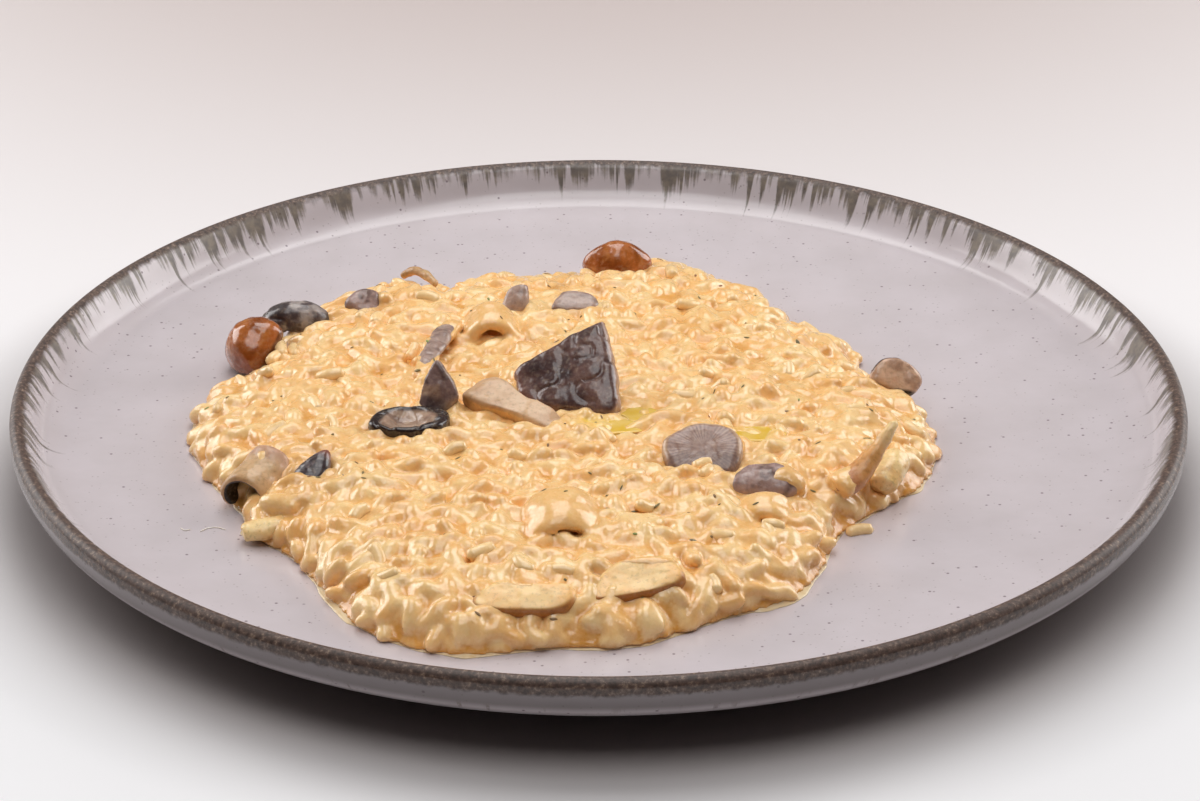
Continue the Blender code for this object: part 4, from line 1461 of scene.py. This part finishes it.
def add_panel(name, place_at, aim, size, power):
    """A soft box: a square area light that faces a point."""
    light = bpy.data.lights.new(name, "AREA")
    light.size = size
    light.energy = power
    item = bpy.data.objects.new(name, light)
    item.location = place_at
    item.rotation_euler = (Vector(aim) - Vector(place_at)).to_track_quat("-Z", "Y").to_euler()
    bpy.context.scene.collection.objects.link(item)


def make_stage():
    """The floor, the soft boxes and a little light from all round."""
    make_floor()
    for panel in PANELS:
        add_panel(*panel)
    world = bpy.data.worlds.new("Soft room")
    world.use_nodes = True
    ground = world.node_tree.nodes["Background"]
    ground.inputs["Color"].default_value = rgba("#F4F0F0")
    ground.inputs["Strength"].default_value = 0.03
    bpy.context.scene.world = world
    bpy.context.scene.view_settings.view_transform = "Standard"


def make_camera():
    """A long lens that looks down on the plate from the front."""
    lens = bpy.data.cameras.new("camera")
    lens.lens = 100
    lens.sensor_width = 36
    camera = bpy.data.objects.new("camera", lens)
    camera.location = CAMERA_PLACE
    camera.rotation_euler = (Vector(CAMERA_AIM) - Vector(CAMERA_PLACE)).to_track_quat("-Z", "Y").to_euler()
    bpy.context.scene.collection.objects.link(camera)
    bpy.context.scene.camera = camera


# --- Add-on ---

# What one step leaves for the next: the mushrooms' forms, the heap and its survey.
MADE = {}


def colour_prop(name, description, code):
    """A colour that the panel shows, with its default as a hex code."""
    return bpy.props.FloatVectorProperty(
        name=name, description=description, default=linear(code), subtype="COLOR", min=0, max=1)


class RisottoSettings(bpy.types.PropertyGroup):
    """Sizes and colours that a user would change."""

    grain_length: bpy.props.FloatProperty(
        name="Grain length", description="Length of a cooked grain", default=0.0070, unit="LENGTH")
    grain_width: bpy.props.FloatProperty(
        name="Grain width", description="Width of a cooked grain", default=0.0035, unit="LENGTH")
    loose_count: bpy.props.IntProperty(
        name="Loose grains", description="Grains that lie on top of the heap", default=90, min=0)
    herb_count: bpy.props.IntProperty(
        name="Herb flecks", description="Flecks of chopped herb on the rice", default=110, min=0)
    seed: bpy.props.IntProperty(name="Seed", description="Another seed scatters the grains anew", default=4)
    grain_colour: colour_prop("Grains", "The palest grains of rice", "#FCD497")
    cream_colour: colour_prop("Cream", "The cream between the grains", "#F4BD74")
    oil_colour: colour_prop("Oil", "The pools of olive oil", "#EFC248")
    glaze_colour: colour_prop("Glaze", "The plate's pale glaze", "#CEC4C7")


class RISOTTO_OT_plate(bpy.types.Operator):
    """Turns the stoneware plate"""

    bl_idname = "risotto.plate"
    bl_label = "Plate"

    def execute(self, context):
        make_plate(context.scene.risotto)
        return {"FINISHED"}


class RISOTTO_OT_heap(bpy.types.Operator):
    """Heaps up the rice and its cream"""

    bl_idname = "risotto.heap"
    bl_label = "Heap of rice"

    def execute(self, context):
        MADE["forms"] = shape_mushrooms()
        MADE["heap"], MADE["survey"] = make_heap(context.scene.risotto, MADE["forms"])
        return {"FINISHED"}


class RISOTTO_OT_mushrooms(bpy.types.Operator):
    """Paints every piece of mushroom and adds it in place"""

    bl_idname = "risotto.mushrooms"
    bl_label = "Mushrooms"

    def execute(self, context):
        make_mushrooms(MADE["forms"])
        return {"FINISHED"}


class RISOTTO_OT_toppings(bpy.types.Operator):
    """Scatters loose grains and herbs, and pours the oil and the thin cream"""

    bl_idname = "risotto.toppings"
    bl_label = "Grains, herbs, oil and cream"

    def execute(self, context):
        settings = context.scene.risotto
        make_loose_grains(MADE["heap"], MADE["survey"], settings)
        make_herbs(MADE["heap"], MADE["survey"], settings)
        make_oil(MADE["heap"], settings)
        make_cream_skirt()
        make_dried_threads()
        return {"FINISHED"}


class RISOTTO_OT_stage(bpy.types.Operator):
    """Sets up the floor, the lights and the camera"""

    bl_idname = "risotto.stage"
    bl_label = "Stage"

    def execute(self, context):
        make_stage()
        make_camera()
        return {"FINISHED"}


OPERATORS = (
    RISOTTO_OT_plate,
    RISOTTO_OT_heap,
    RISOTTO_OT_mushrooms,
    RISOTTO_OT_toppings,
    RISOTTO_OT_stage,
)


class RISOTTO_PT_panel(bpy.types.Panel):
    """Lists the settings and the steps"""

    bl_label = "Risotto"
    bl_idname = "RISOTTO_PT_panel"
    bl_space_type = "VIEW_3D"
    bl_region_type = "UI"
    bl_category = "Risotto"

    def draw(self, context):
        settings = context.scene.risotto
        for name in RisottoSettings.__annotations__:
            self.layout.prop(settings, name)
        for operator in OPERATORS:
            self.layout.operator(operator.bl_idname)


CLASSES = (RisottoSettings, *OPERATORS, RISOTTO_PT_panel)


def register():
    for item in CLASSES:
        bpy.utils.register_class(item)
    bpy.types.Scene.risotto = bpy.props.PointerProperty(type=RisottoSettings)


def unregister():
    del bpy.types.Scene.risotto
    for item in reversed(CLASSES):
        bpy.utils.unregister_class(item)


def main():
    register()
    for operator in OPERATORS:
        group, name = operator.bl_idname.split(".")
        getattr(getattr(bpy.ops, group), name)()


if __name__ == "__main__":
    main()
